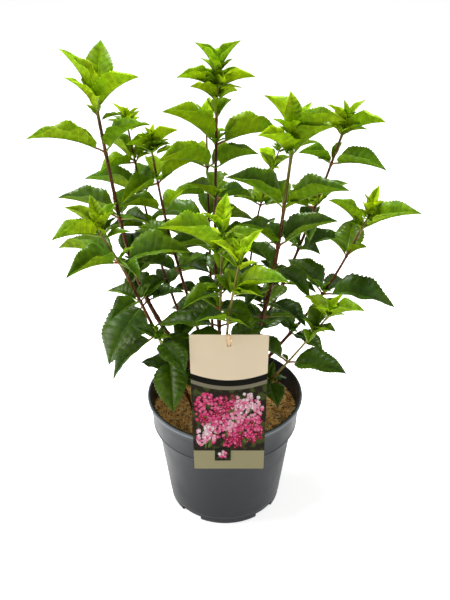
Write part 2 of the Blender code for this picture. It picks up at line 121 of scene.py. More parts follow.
def soft_lamp(name, place, size, power):
    """A square lamp that looks at the middle of the plant."""
    data = bpy.data.lights.new(name, "AREA")
    data.size = size
    data.energy = power
    lamp = shown(name, data)
    lamp.location = place
    lamp.rotation_euler = (CAMERA_AIM - Vector(place)).to_track_quat("-Z", "Y").to_euler()
    return lamp


lamps = [soft_lamp(*row) for row in LAMPS]
world = bpy.data.worlds.new("white_surround")
world.use_nodes = True
world.node_tree.nodes["Background"].inputs["Color"].default_value = WHITE
world.node_tree.nodes["Background"].inputs["Strength"].default_value = SURROUND
bpy.context.scene.world = world

sweep = bmesh.new()
bmesh.ops.create_grid(sweep, x_segments=1, y_segments=1, size=FLOOR_SIZE / 2)
floor = shown("floor", mesh_of("floor", sweep))
paper = bpy.data.materials.new("paper")
paper.use_nodes = True
for socket, value in (
    ("Base Color", PAPER), ("Roughness", 0.9), ("Emission Color", WHITE), ("Emission Strength", PAPER_GLOW),
):
    paper.node_tree.nodes["Principled BSDF"].inputs[socket].default_value = value
floor.data.materials.append(paper)
print("lamps:", len(lamps))

# %% [markdown]
# ## Shader sums
# A finish is a sum of patterns. One small class wraps a socket, so that `noise * 0.3 + 0.5`
# adds the nodes that work it out, and one method adds any other node with its settings first.


# %% Shader sums
class Shade:
    """One output of a material's nodes, on which sums can be written."""

    def __init__(self, tree, socket):
        self.tree = tree
        self.socket = socket

    def node(self, kind, settings=None, inputs=None, output=0):
        made = self.tree.nodes.new(kind)
        for name, value in (settings or {}).items():
            if name == "stops":
                ramp = made.color_ramp
                while len(ramp.elements) < len(value):
                    ramp.elements.new(1)
                for element, (place, colour) in zip(ramp.elements, value):
                    element.position = place
                    element.color = (*colour, 1)
            else:
                setattr(made, name, value)
        for name, value in (inputs or {}).items():
            if isinstance(value, Shade):
                self.tree.links.new(value.socket, made.inputs[name])
            else:
                made.inputs[name].default_value = value
        return Shade(self.tree, made.outputs[output])

    def maths(self, operation, first, second=None, clamp=False):
        inputs = {0: first} if second is None else {0: first, 1: second}
        return self.node("ShaderNodeMath", {"operation": operation, "use_clamp": clamp}, inputs)

    def __add__(self, other):
        return self.maths("ADD", self, other)

    def __sub__(self, other):
        return self.maths("SUBTRACT", self, other)

    def __rsub__(self, other):
        return self.maths("SUBTRACT", other, self)

    def __mul__(self, other):
        return self.maths("MULTIPLY", self, other)

    __radd__ = __add__
    __rmul__ = __mul__

    def above(self, edge, soft=0.02):
        """1 where this value is over the edge, 0 where it is under it, with a soft step."""
        return self.maths("ADD", (self - edge) * (1 / soft), 0.5, clamp=True)

    def mix(self, low, high):
        """The low colour where this mask is 0 and the high colour where it is 1."""
        settings = {"data_type": "RGBA"}
        inputs = {0: self, 6: rgba(low), 7: rgba(high)}
        return self.node("ShaderNodeMix", settings, inputs, 2)

    def noise(self, scale, detail=3, stretch=(1, 1, 1)):
        """Cloudy noise on this position: `scale` spots a metre, squeezed along the axes."""
        place = self.node("ShaderNodeMapping", None, {"Vector": self, "Scale": stretch})
        inputs = {"Vector": place, "Scale": scale, "Detail": detail}
        return self.node("ShaderNodeTexNoise", None, inputs)

    def part(self, axis):
        """One of the three numbers of this position."""
        return self.node("ShaderNodeSeparateXYZ", None, {0: self}, axis)

    def bump(self, height_mm, strength=1.0):
        """Small relief of a height in millimetres."""
        return self.node("ShaderNodeBump", None, {
            "Height": self, "Distance": height_mm * MM, "Strength": strength,
        })


def rgba(colour):
    """A colour as a node wants it; a Shade passes through."""
    return colour if isinstance(colour, Shade) else (*colour, 1)


def shaded(colour, factor):
    """A colour made lighter or darker by a factor."""
    return tuple(min(1, c * factor) for c in colour)


def paint(name, colour, roughness, **constants):
    """A new Principled material; returns it, its surface and its Object position."""
    material = bpy.data.materials.new(name)
    material.use_nodes = True
    tree = material.node_tree
    surface = tree.nodes["Principled BSDF"]
    surface.inputs["Base Color"].default_value = (*colour, 1)
    surface.inputs["Roughness"].default_value = roughness
    for socket, value in constants.items():
        surface.inputs[socket.replace("_", " ")].default_value = value
    place = tree.nodes.new("ShaderNodeTexCoord").outputs["Object"]
    return material, surface, Shade(tree, place)


def feed(shade, surface, socket):
    """Links a shade to one of the surface's sockets."""
    shade.tree.links.new(shade.socket, surface.inputs[socket])


def piece(name, form, materials, smooth=40):
    """Makes an object of the plant from a form in millimetres; it rides on the plant's body."""
    form.transform(Matrix.Scale(MM, 4))
    return piece_of_mesh(name, mesh_of(name, form), materials, smooth)


def piece_of_mesh(name, mesh, materials, smooth=40):
    """Makes an object of the plant from a finished mesh in metres."""
    if not mesh.materials:
        for material in materials:
            mesh.materials.append(material)
    mesh.shade_smooth()
    if smooth:
        mesh.set_sharp_from_angle(angle=radians(smooth))
    made = shown(name, mesh)
    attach(made, "root")
    mesh.calc_loop_triangles()
    print(name, len(mesh.loop_triangles), "triangles")
    return made


def cut_away(whole, name, at, size):
    """Cuts a block out of a finished piece: where the block's middle is, and its three sides."""
    block = bmesh.new()
    bmesh.ops.create_cube(block, size=1)
    block.transform(Matrix.Scale(MM, 4) @ at @ Matrix.Diagonal((*size, 1)))
    guide = shown(name, mesh_of(name, block))
    change = whole.modifiers.new(name, "BOOLEAN")
    change.operation = "DIFFERENCE"
    change.object = guide
    cut = worked_out(whole)
    whole.modifiers.clear()
    whole.data = cut
    bpy.data.objects.remove(guide, do_unlink=True)


# %% [markdown]
# ## The pot
# A nursery pot is one thin shot of plastic: a rounded foot cut by shallow drain gaps, a
# tapered body, and a wider collar that ends in a rolled lip. It could be lathed from a curve
# with a Screw modifier. A spin of its profile in bmesh does the same and leaves a closed
# mesh, from which the four gaps are then cut.

# %% The pot's form
POT_HEIGHT = 157
LIP_RADIUS = 95
COLLAR_TOP_RADIUS = 92
COLLAR_FOOT_RADIUS = 89
BODY_TOP_RADIUS = 84
BODY_FOOT_RADIUS = 71
FOOT_RADIUS = 68.5
COLLAR_HEIGHT = 40
POT_WALL = 1.8
POT_FLOOR = 8
POT_STEPS = 144
POT_SHARP = 35
INNER_FOOT = 14
TAPER_FOOT = 12
LIP_BAND = 6
NOTCH_WIDTH = 29
NOTCH_HEIGHT = 6.5
NOTCH_DEPTH = 16
NOTCH_TURNS = (52, 136, 232, 316)
STEP_HEIGHT = POT_HEIGHT - COLLAR_HEIGHT


def inner_radius(height):
    """Radius of the inside of the pot's wall."""
    if height < STEP_HEIGHT - 2:
        share = (height - TAPER_FOOT) / (STEP_HEIGHT - TAPER_FOOT)
        return BODY_FOOT_RADIUS + (BODY_TOP_RADIUS - BODY_FOOT_RADIUS) * share - POT_WALL
    share = (height - STEP_HEIGHT) / (COLLAR_HEIGHT - LIP_BAND)
    return COLLAR_FOOT_RADIUS + (COLLAR_TOP_RADIUS - COLLAR_FOOT_RADIUS) * share - POT_WALL


def round_off(centre, radius, start, end, steps=5):
    """Points of a rounded corner of the profile, from one angle to another."""
    angles = [radians(start + (end - start) * k / steps) for k in range(steps + 1)]
    return [(centre[0] + radius * cos(a), centre[1] + radius * sin(a)) for a in angles]


def turned(profile, steps):
    """A closed form turned about +Z from (radius, height) points."""
    form = bmesh.new()
    verts = [form.verts.new((radius, 0, height)) for radius, height in profile]
    edges = [form.edges.new(pair) for pair in zip(verts, verts[1:])]
    bmesh.ops.spin(
        form, geom=verts + edges, axis=(0, 0, 1), cent=(0, 0, 0),
        angle=2 * pi, steps=steps, use_merge=True,
    )
    bmesh.ops.remove_doubles(form, verts=form.verts, dist=0.001)
    bmesh.ops.recalc_face_normals(form, faces=form.faces)
    return form


pot_profile = [
    (0, 0), (FOOT_RADIUS - 2, 0),
    *round_off((FOOT_RADIUS - 2.2, 3.4), 3.4, -80, -14),
    (BODY_FOOT_RADIUS - 1.3, 9.0), (BODY_FOOT_RADIUS - 1.2, 9.5), (BODY_FOOT_RADIUS - 0.5, 10.2),
    (BODY_FOOT_RADIUS, TAPER_FOOT), (BODY_FOOT_RADIUS + 0.3, 15),
    (BODY_TOP_RADIUS - 0.3, STEP_HEIGHT - 4.5), (BODY_TOP_RADIUS + 0.3, STEP_HEIGHT - 2.4),
    (COLLAR_FOOT_RADIUS - 1.6, STEP_HEIGHT - 1.0), (COLLAR_FOOT_RADIUS - 0.5, STEP_HEIGHT - 0.6),
    (COLLAR_FOOT_RADIUS + 0.3, STEP_HEIGHT + 0.4), (COLLAR_FOOT_RADIUS + 0.5, STEP_HEIGHT + 1.1),
    (COLLAR_FOOT_RADIUS + 0.4, STEP_HEIGHT + 1.7), (COLLAR_FOOT_RADIUS + 0.1, STEP_HEIGHT + 2.2),
    (COLLAR_TOP_RADIUS - 0.1, POT_HEIGHT - 6.4), (COLLAR_TOP_RADIUS + 0.9, POT_HEIGHT - 5.2),
    (LIP_RADIUS - 1.2, POT_HEIGHT - 4.6),
    *round_off((LIP_RADIUS - 2.2, POT_HEIGHT - 2.3), 2.2, -45, 110, 9),
    (LIP_RADIUS - 4.4, POT_HEIGHT - 0.6), (inner_radius(POT_HEIGHT - LIP_BAND), POT_HEIGHT - LIP_BAND),
    (inner_radius(STEP_HEIGHT), STEP_HEIGHT), (inner_radius(STEP_HEIGHT - 3), STEP_HEIGHT - 3),
    (inner_radius(INNER_FOOT), INNER_FOOT), (FOOT_RADIUS - 2, POT_FLOOR), (0, POT_FLOOR),
]
pot_form = turned(pot_profile, POT_STEPS)
print("pot faces", len(pot_form.faces))

# %% [markdown]
# The plastic is a satin slate grey with a very fine grain from the mould, faint rings where
# the mould was turned, and a little dust and scuffing. The outer edge of the lip has a paler
# band of painted highlight.

# %% The pot's finish
POT_GREY = (0.0165, 0.018, 0.021)
POT_SCUFF = (0.030, 0.032, 0.037)
POT_RIM_HIGHLIGHT = (0.17, 0.19, 0.21)
POT_SHADE = (0.004, 0.004, 0.005)
RIM_HIGHLIGHT_WIDTH = 2.4

plastic, surface, place = paint("grey_plastic", POT_GREY, 0.42, Specular_IOR_Level=0.26)
scuff = place.noise(38, 5).above(0.56, 0.25)
out = place.part(0) * place.part(0) + place.part(1) * place.part(1)
# The outer edge of the lip is painted paler all round, as a painted highlight.
painted_rim_highlight = out.above(((LIP_RADIUS - RIM_HIGHLIGHT_WIDTH) * MM) ** 2, 2 * LIP_RADIUS * RIM_HIGHLIGHT_WIDTH * MM ** 2)
feed(painted_rim_highlight.mix((scuff * 0.5).mix(POT_GREY, POT_SCUFF), POT_RIM_HIGHLIGHT), surface, "Base Color")
feed(scuff * 0.12 + 0.36 + place.noise(900, 2) * 0.06, surface, "Roughness")
rings = place.noise(30, 2, (0.4, 0.4, 30))
grain = place.noise(1500, 2)
feed((rings * 0.7 + grain * 0.35).bump(0.16, 0.6), surface, "Normal")

pot = piece("pot_moulding", pot_form, [plastic], POT_SHARP)
for turn in NOTCH_TURNS:
    at = Matrix.Rotation(radians(turn), 4, "Z") @ Matrix.Translation((BODY_FOOT_RADIUS + 2, 0, 0))
    cut_away(pot, f"gap_{turn}", at, (2 * NOTCH_DEPTH, NOTCH_WIDTH, 2 * NOTCH_HEIGHT))
hollow, surface, place = paint("plastic_in_shade", POT_SHADE, 0.7, Specular_IOR_Level=0.1)
feed(place.noise(300, 3).bump(0.2, 0.5), surface, "Normal")
pot.data.materials.append(hollow)
for face in pot.data.polygons:
    middle = face.center / MM
    in_gap = 0.1 < middle.z < NOTCH_HEIGHT + 0.1 and middle.xy.length < FOOT_RADIUS - 0.5
    face.material_index = 1 if in_gap else 0
pot.data.set_sharp_from_angle(angle=radians(POT_SHARP))
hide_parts("pot")
print("drain gaps cut:", len(NOTCH_TURNS), "faces now", len(pot.data.polygons))

# %% [markdown]
# ## The substrate
# The pot is filled with coarse coir: a lumpy golden brown surface, with fibres and chips
# lying on it at all angles. A grid disc is pushed up and down for the lumps, and the fibres
# are short bent strands laid on it. Their count is high, so each has only a few faces.

# %% The substrate's surface
SOIL_TOP = 135
SOIL_LUMP = 2.2
SOIL_ROUGH = 0.55
SOIL_STEPS = 90
SOIL_EDGE = inner_radius(SOIL_TOP) - CLEAR


def soil_height(x, y):
    """Height of the coir's lumpy top, a little lower where it is watered against the wall."""
    lumps = sin(x * 0.21 + 1.3 * sin(y * 0.13)) * sin(y * 0.19 + 1.1 * sin(x * 0.11))
    small = sin(x * 0.83 + y * 0.37) * sin(y * 0.91 - x * 0.29)
    radius = (x * x + y * y) ** 0.5 / SOIL_EDGE
    return SOIL_TOP - SOIL_LUMP + 1.1 * lumps + 0.6 * small - 1.5 * max(0, radius - 0.8) * 5


soil_form = bmesh.new()
bmesh.ops.create_grid(soil_form, x_segments=SOIL_STEPS, y_segments=SOIL_STEPS, size=SOIL_EDGE)
for vert in soil_form.verts:
    x, y = vert.co.x, vert.co.y
    reach = max(abs(x), abs(y))
    length = (x * x + y * y) ** 0.5
    shrink = reach / length if length else 1
    vert.co.x, vert.co.y = x * shrink, y * shrink
chance = random.Random("coir")
for vert in soil_form.verts:
    vert.co.z = soil_height(vert.co.x, vert.co.y) + chance.uniform(-SOIL_ROUGH, SOIL_ROUGH)
ring_edges = [edge for edge in soil_form.edges if edge.is_boundary]
for height in (STEP_HEIGHT, STEP_HEIGHT - 3, INNER_FOOT, POT_FLOOR + CLEAR):
    grown = bmesh.ops.extrude_edge_only(soil_form, edges=ring_edges)["geom"]
    radius = FOOT_RADIUS - 3 if height < INNER_FOOT else inner_radius(height) - CLEAR
    for vert in (part for part in grown if isinstance(part, bmesh.types.BMVert)):
        flat = Vector((vert.co.x, vert.co.y, 0)).normalized() * radius
        vert.co = (flat.x, flat.y, height)
    ring_edges = [part for part in grown if isinstance(part, bmesh.types.BMEdge)]
    ring_edges = [edge for edge in ring_edges if edge.is_boundary]
bmesh.ops.contextual_create(soil_form, geom=ring_edges)
bmesh.ops.recalc_face_normals(soil_form, faces=soil_form.faces)

COIR_DARK_AND_HOLLOW_SHADE = (0.14, 0.055, 0.013)
COIR_MID = (0.86, 0.44, 0.12)
COIR_PALE = (1.0, 0.71, 0.33)

coir, surface, place = paint("coir", COIR_MID, 0.95)
# One noise gives both the colour and the bump, so the hollows of the lumps are the darkest: partly dark
# coir, partly painted shade.
lump = place.noise(260, 6)
shades = lump.node("ShaderNodeValToRGB", {"stops": (
    (0.36, COIR_DARK_AND_HOLLOW_SHADE), (0.53, COIR_MID), (0.70, COIR_PALE),
)}, {0: lump})
feed(shades, surface, "Base Color")
feed((lump * 0.6 + place.noise(900, 4) * 0.4).bump(2.5, 1.0), surface, "Normal")
soil = piece("coir_fill", soil_form, [coir], 0)
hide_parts("substrate")

# %% [markdown]
# A strand is a bent line of points with a radius at each, drawn as a curve with a round
# bevel and turned into a mesh. The stick, the canes and the leaf stalks are made so too.

# %% Fibres and chips on the substrate
FIBRES = 1500
CHIPS = 700
FIBRE_LENGTH, CHIP_LENGTH = (6, 18), (1.5, 4)
FIBRE_THICK, CHIP_THICK = (0.22, 0.48), (0.5, 1.0)
FIBRE_LIFT, CHIP_LIFT = (-0.1, 1.4), (0.1, 0.7)
FIBRE_COLOURS = (
    ("fibre_pale", COIR_PALE), ("fibre_gold", (0.98, 0.57, 0.19)), ("fibre_brown", (0.22, 0.10, 0.03)),
)


def strands(name, rows, rings, finishes):
    """A mesh of tubes: each row is a list of (point, radius) along a strand, and its finish."""
    curve = bpy.data.curves.new(name, "CURVE")
    for finish in finishes:
        curve.materials.append(finish)
    curve.dimensions = "3D"
    curve.bevel_depth = MM
    curve.bevel_resolution = rings
    curve.use_fill_caps = True
    for points, slot in rows:
        spline = curve.splines.new("POLY")
        spline.points.add(len(points) - 1)
        spline.material_index = slot
        for spot, (point, radius) in zip(spline.points, points):
            spot.co = (*(Vector(point) * MM), 1)
            spot.radius = radius
    helper = shown(name, curve)
    mesh = worked_out(helper)
    bpy.data.objects.remove(helper, do_unlink=True)
    mesh.name = name
    return mesh


chance = random.Random("fibres")
rows = []
for _ in range(FIBRES + CHIPS):
    chip = len(rows) >= FIBRES
    radius = (SOIL_EDGE - 4) * chance.random() ** 0.5
    turn = chance.uniform(0, 2 * pi)
    x, y = radius * cos(turn), radius * sin(turn)
    heading = chance.uniform(0, 2 * pi)
    length = chance.uniform(*(CHIP_LENGTH if chip else FIBRE_LENGTH))
    thick = chance.uniform(*(CHIP_THICK if chip else FIBRE_THICK))
    points = []
    for k in range(3 if chip else 5):
        if x * x + y * y > (SOIL_EDGE - 3) ** 2:
            break
        lift = chance.uniform(*(CHIP_LIFT if chip else FIBRE_LIFT))
        points.append(((x, y, soil_height(x, y) + lift), thick * (0.6 if k == 0 else 1)))
        x += cos(heading) * length / 4
        y += sin(heading) * length / 4
        heading += chance.uniform(-0.7, 0.7)
    if len(points) > 1:
        rows.append((points, chance.randrange(len(FIBRE_COLOURS))))
    else:
        stub = (x * 0.5, y * 0.5, SOIL_TOP - 3)
        rows.append(([(stub, 0.3), ((stub[0] + 1, *stub[1:]), 0.3)], 0))
fibre_finishes = []
for name, colour in FIBRE_COLOURS:
    made, surface, place = paint(name, colour, 0.85)
    feed(place.noise(600, 2).bump(0.3, 0.5), surface, "Normal")
    fibre_finishes.append(made)
fibre_mesh = strands("coir_fibres", rows, 0, fibre_finishes)
piece_of_mesh("coir_fibres", fibre_mesh, fibre_finishes, 0)

# %% [markdown]
# ## The card
# The card leans on the lip and hangs on the stick by a slot. It is a thin printed sheet: a
# bare sand coloured field at the top, a dark band with a bowed edge, a picture of blossom,
# and an olive foot with a small inset square. The sheet is one block with a cut slot and
# rounded corners; its fields are painted by position, and the blossom is a printed scatter
# of small petals, laid out for this card.

# %% The card's form
LABEL_LENGTH = 158
LABEL_TOP_WIDTH = 89
LABEL_FOOT_WIDTH = 79
LABEL_THICK = 0.9
LABEL_LEAN = 19
LABEL_TOP_HEIGHT = 275
LABEL_MIDDLE = 4.5
CARD_CORNER = 1.2
SLOT_WIDTH = 5
SLOT_LENGTH = 9
SLOT_DEPTH = 8
SLOT_BELOW_TOP = 9
STICK_THICK = 4.5
STICK_LEAN = 14
STICK_ABOVE_SLOT = 13


def label_point(across, down, out=0.0):
    """A point of the card: across from its middle, down from its top edge, out from its face."""
    lean = radians(LABEL_LEAN)
    rim_front = -(LIP_RADIUS + LABEL_THICK / 2 / cos(lean) + CLEAR)
    top_y = rim_front + (LABEL_TOP_HEIGHT - POT_HEIGHT + 2) * tan(lean)
    middle = Vector((LABEL_MIDDLE + across, top_y - down * sin(lean), LABEL_TOP_HEIGHT - down * cos(lean)))
    return middle + Vector((0, -cos(lean), sin(lean))) * out


def to_card(form):
    """Moves a flat form, drawn with x across and y up from the top edge, onto the card."""
    for vert in form.verts:
        vert.co = label_point(vert.co.x, -vert.co.y, vert.co.z)


def card_half_width(down):
    """Half the card's width at a distance below its top edge."""
    return (LABEL_TOP_WIDTH + (LABEL_FOOT_WIDTH - LABEL_TOP_WIDTH) * down / LABEL_LENGTH) / 2


def sheet(outline, thick):
    """A thin plate of a flat outline, centred on its own plane."""
    form = bmesh.new()
    face = form.faces.new([form.verts.new((x, y, -thick / 2)) for x, y in outline])
    grown = bmesh.ops.extrude_face_region(form, geom=[face])["geom"]
    top = [part for part in grown if isinstance(part, bmesh.types.BMVert)]
    bmesh.ops.translate(form, vec=(0, 0, thick), verts=top)
    bmesh.ops.recalc_face_normals(form, faces=form.faces)
    return form


outline = []
for side, down in ((1, 0), (1, LABEL_LENGTH), (-1, LABEL_LENGTH), (-1, 0)):
    outline.append((side * card_half_width(down), -down))
card_form = sheet(outline, LABEL_THICK)
corners = [edge for edge in card_form.edges if abs(edge.verts[0].co.z - edge.verts[1].co.z) > 0.5]
bmesh.ops.bevel(
    card_form, geom=corners, offset=CARD_CORNER, segments=4, affect="EDGES", profile=0.5, material=-1,
)
print("card corners rounded:", len(corners))

# %% [markdown]
# The bare fields are painted by where they lie on the card: `down` runs from the top edge to
# the foot. The dark band bows, so its edge is measured with the square of the distance from
# the card's middle line.

# %% The card's print
SAND, SAND_PALE = (0.80, 0.655, 0.465), (0.85, 0.71, 0.51)
INK = (0.004, 0.004, 0.002)
OLIVE_LINE = (0.20, 0.18, 0.12)
OLIVE_FOOT = (0.31, 0.28, 0.155)
PICTURE_GROUND, PICTURE_GREEN = (0.020, 0.014, 0.008), (0.050, 0.070, 0.014)
BAND_TOP, LINE_TOP, PICTURE_TOP, PICTURE_FOOT = 52.5, 59.5, 64.0, 136.0
BOW = 0.0045
PRINT_EDGE = 0.4
PRINT_SHINE = 0.1

lean = radians(LABEL_LEAN)
card_print, surface, place = paint("card_print", SAND, 0.5, Specular_IOR_Level=PRINT_SHINE)
height = place.part(2) * (1 / MM)
down = (LABEL_TOP_HEIGHT - height) * (1 / cos(lean))
across = place.part(0) * (1 / MM) - LABEL_MIDDLE
bowed = down + across * across * BOW
blotch = place.noise(120, 4)
ground = blotch.above(0.55, 0.1).mix(PICTURE_GROUND, PICTURE_GREEN)
fields = (place.noise(35, 3) * 0.5).mix(SAND, SAND_PALE)
for depth, edge, colour in (
    (bowed, BAND_TOP, INK), (bowed, LINE_TOP, OLIVE_LINE), (bowed, PICTURE_TOP, ground),
    (down, PICTURE_FOOT, OLIVE_FOOT),
):
    fields = depth.above(edge, PRINT_EDGE).mix(fields, colour)
feed(fields, surface, "Base Color")
feed(place.noise(500, 2).bump(0.05, 0.4), surface, "Normal")
to_card(card_form)
card = piece("card", card_form, [card_print], 30)

slot_at = Matrix.Translation(label_point(0, SLOT_BELOW_TOP)) @ Matrix.Rotation(-lean, 4, "X")
cut_away(card, "slot", slot_at, (SLOT_WIDTH, SLOT_DEPTH, SLOT_LENGTH))
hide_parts("label")

# %% [markdown]
# The picture is a scatter of round flower heads over a few printed leaves. Each flower is
# five small flat discs around an eye, and the heads run from white through pink to wine.

# %% Printed blossom
PETAL_COLOURS = (
    ("petal_white", (0.86, 0.76, 0.76)),
    ("petal_blush", (0.84, 0.42, 0.52)),
    ("petal_pink", (0.80, 0.14, 0.30)),
    ("petal_rose", (0.66, 0.035, 0.15)),
    ("petal_wine", (0.30, 0.008, 0.045)),
    ("print_leaf", (0.10, 0.16, 0.03)),
)
HEADS = (
    (-22, 86, 21, 2.2), (20, 85, 20, 0.6), (25, 112, 18, 2.4), (-2, 107, 19, 1.4), (-26, 117, 16, 0.4),
    (5, 128, 11, 3.0), (1, 78, 10, 3.0),
)
FLORETS = 0.34
PRINTED_LEAVES = 90
PRINT_LEAF, EYE_PALE, EYE_PINK, DARKEST = 5, 0, 2, 4
PRINT_LIFT = 0.05
FLOWER_STEP = 0.0008


def petal(form, centre, heading, length, width, lift, slot):
    """One flat printed petal: a small disc squeezed and pushed out from the flower's middle."""
    made = bmesh.ops.create_circle(form, cap_ends=True, segments=7, radius=0.5)["verts"]
    turn = Matrix.Rotation(heading, 4, "Z")
    shape = turn @ Matrix.Translation((length * 0.55, 0, 0)) @ Matrix.Diagonal((length, width, 1, 1))
    bmesh.ops.transform(form, matrix=Matrix.Translation((*centre, lift)) @ shape, verts=made)
    for face in {face for vert in made for face in vert.link_faces}:
        face.material_index = slot


def floret(form, x, down, length, twist, lift, slot, eye):
    """Five petals around a small eye."""
    for k in range(5):
        petal(form, (x, -down), twist + k * 2 * pi / 5, length, length * 0.9, lift + k * 0.0001, slot)
    petal(form, (x - 0.3, -down), 0, 0.6, 0.6, lift + 0.0006, eye)


chance = random.Random("blossom")
blossom = bmesh.new()
lift = 0.0
for _ in range(PRINTED_LEAVES):
    x, y = chance.uniform(-30, 30), chance.uniform(PICTURE_TOP + 13, PICTURE_FOOT - 10)
    length = chance.uniform(5, 9)
    lift += 0.0002
    petal(blossom, (x, -y), chance.uniform(0, 2 * pi), length, chance.uniform(2, 4.5), lift, PRINT_LEAF)
flowers = []
for x, y, size, shade in HEADS:
    for _ in range(int(size * size * FLORETS)):
        away = chance.random() ** 0.55
        turn = chance.uniform(0, 2 * pi)
        out_x, out_y = size * away * cos(turn), 0.85 * size * away * sin(turn)
        flowers.append((away, x + out_x, y + out_y, shade, sin(turn)))
flowers.sort(reverse=True)
for away, x, y, shade, low in flowers:
    if y < PICTURE_TOP + 3 or y > PICTURE_FOOT - 4 or abs(x) > card_half_width(y) - 4:
        continue
    slot = shade + away * (1.1 + 0.7 * low) + chance.uniform(-1.1, 1.1)
    slot = min(DARKEST, max(0, round(slot)))
    lift += FLOWER_STEP
    length, twist = chance.uniform(1.5, 2.3), chance.uniform(0, 2 * pi)
    floret(blossom, x, y, length, twist, lift, slot, EYE_PALE if slot > 1 else EYE_PINK)
print("printed flowers:", len(flowers))

INSET_AT, INSET_SIZE = (-7, 140.5), (18, 15)
INSET_GROUND, INSET_GREEN = (0.010, 0.008, 0.006), (0.03, 0.045, 0.012)
inset_x, inset_down = INSET_AT
inset = bmesh.new()
bmesh.ops.create_grid(inset, x_segments=1, y_segments=1, size=0.5)
inset_lift = LABEL_THICK / 2 + PRINT_LIFT + lift + PRINT_LIFT
inset_at = Matrix.Translation((inset_x, -inset_down, inset_lift))
inset.transform(inset_at @ Matrix.Diagonal((*INSET_SIZE, 1, 1)))
to_card(inset)
inset_ink, surface, place = paint("inset_ink", INSET_GROUND, 0.5, Specular_IOR_Level=PRINT_SHINE)
ink_spots = place.noise(300, 3).above(0.55, 0.08)
feed(ink_spots.mix(INSET_GROUND, INSET_GREEN), surface, "Base Color")
piece("card_inset", inset, [inset_ink], 0)

lift += PRINT_LIFT + 0.01
for k, slot in enumerate((1, 2, 1, 2, 0, 2, 3)):
    turn = k * 2.4
    away = 0 if k == 0 else 3.9
    lift += FLOWER_STEP
    x, y = inset_x + away * cos(turn), inset_down + away * sin(turn) * 0.8
    floret(blossom, x, y, 1.9, turn, lift, slot, EYE_PALE)
for vert in blossom.verts:
    vert.co.z += LABEL_THICK / 2 + PRINT_LIFT
to_card(blossom)
petal_finishes = []
for name, colour in PETAL_COLOURS:
    made, surface, place = paint(name, colour, 0.5, Specular_IOR_Level=PRINT_SHINE)
    faded = place.noise(500, 2).above(0.5, 0.3) * 0.7
    feed(faded.mix(colour, shaded(colour, 0.55)), surface, "Base Color")
    petal_finishes.append(made)
piece("card_blossom", blossom, petal_finishes, 0)

# %% [markdown]
# ## The stick
# The stick is a round split of pale wood that runs down behind the card into the coir. Its
# grain runs along it, so the noise is squeezed along its length.

# %% The stick
lean_forward = radians(STICK_LEAN)
stick_along = Vector((0, -sin(lean_forward), cos(lean_forward)))
slot_middle = label_point(0, SLOT_BELOW_TOP)
stick_foot = slot_middle - stick_along * ((slot_middle.z - SOIL_TOP - CLEAR) / stick_along.z)
stick_top = slot_middle + stick_along * STICK_ABOVE_SLOT
stick_rows = []
for share, width in ((0, 1), (0.5, 0.98), (0.93, 1), (0.975, 0.98), (0.995, 0.8), (1, 0.55)):
    stick_rows.append((stick_foot.lerp(stick_top, share), STICK_THICK / 2 * width))
PALE_WOOD, WOOD_GRAIN = (0.60, 0.38, 0.19), (0.74, 0.54, 0.32)
wood, surface, place = paint("pale_wood", PALE_WOOD, 0.7)
grain = place.noise(60, 5, (14, 14, 0.6))
feed(grain.above(0.5, 0.4).mix(PALE_WOOD, WOOD_GRAIN), surface, "Base Color")
feed(grain.bump(0.3, 0.5), surface, "Normal")
stick_mesh = strands("stick", [(stick_rows, 0)], 4, [wood])
stick = piece_of_mesh("stick", stick_mesh, [wood])
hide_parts("label_stick")

# %% [markdown]
# ## Where the canes and leaves are
# The table is the plant itself: each cane's foot, knee and tip, and at every leafy node the
# turn, rise and length of its leaves. The solids were made from the same table by the same
# rule. There each leaf was swung a little until it was clear of its neighbours, so here the
# attitude whose tip is really on the solid is looked up.

# %% Table of canes
TIP_SHARE = 0.56
FLARE = 1.4
FLARE_HEIGHT = 9
BLADE_RATIO = 0.62
YOUNG_RATIO = 0.42
PETIOLE_SHARE = 0.13
ARCH = 0.09
FOLD_LOW = 16
FOLD_HIGH = 58
FOLD_LOW_HEIGHT = 200
FOLD_HIGH_HEIGHT = 430
YOUNG_FOLD = 34
BUD_PAIRS = ((1.0, 50, 0), (0.72, 68, 90))
BUD_SPACING = 7
SWINGS = (0, 8, -8, 16, -16, 24, -24, 34, -34)
LIFTS = (0, 9, -9, 18, -18)
SHARES = (1.0, 0.88, 0.76)
TIP_MATCH = 0.05
TIP_LOST = 3

Cane = namedtuple("Cane", "foot knee tip thick nodes bud")
Leaf = namedtuple("Leaf", "root turn rise length roll fold ratio")

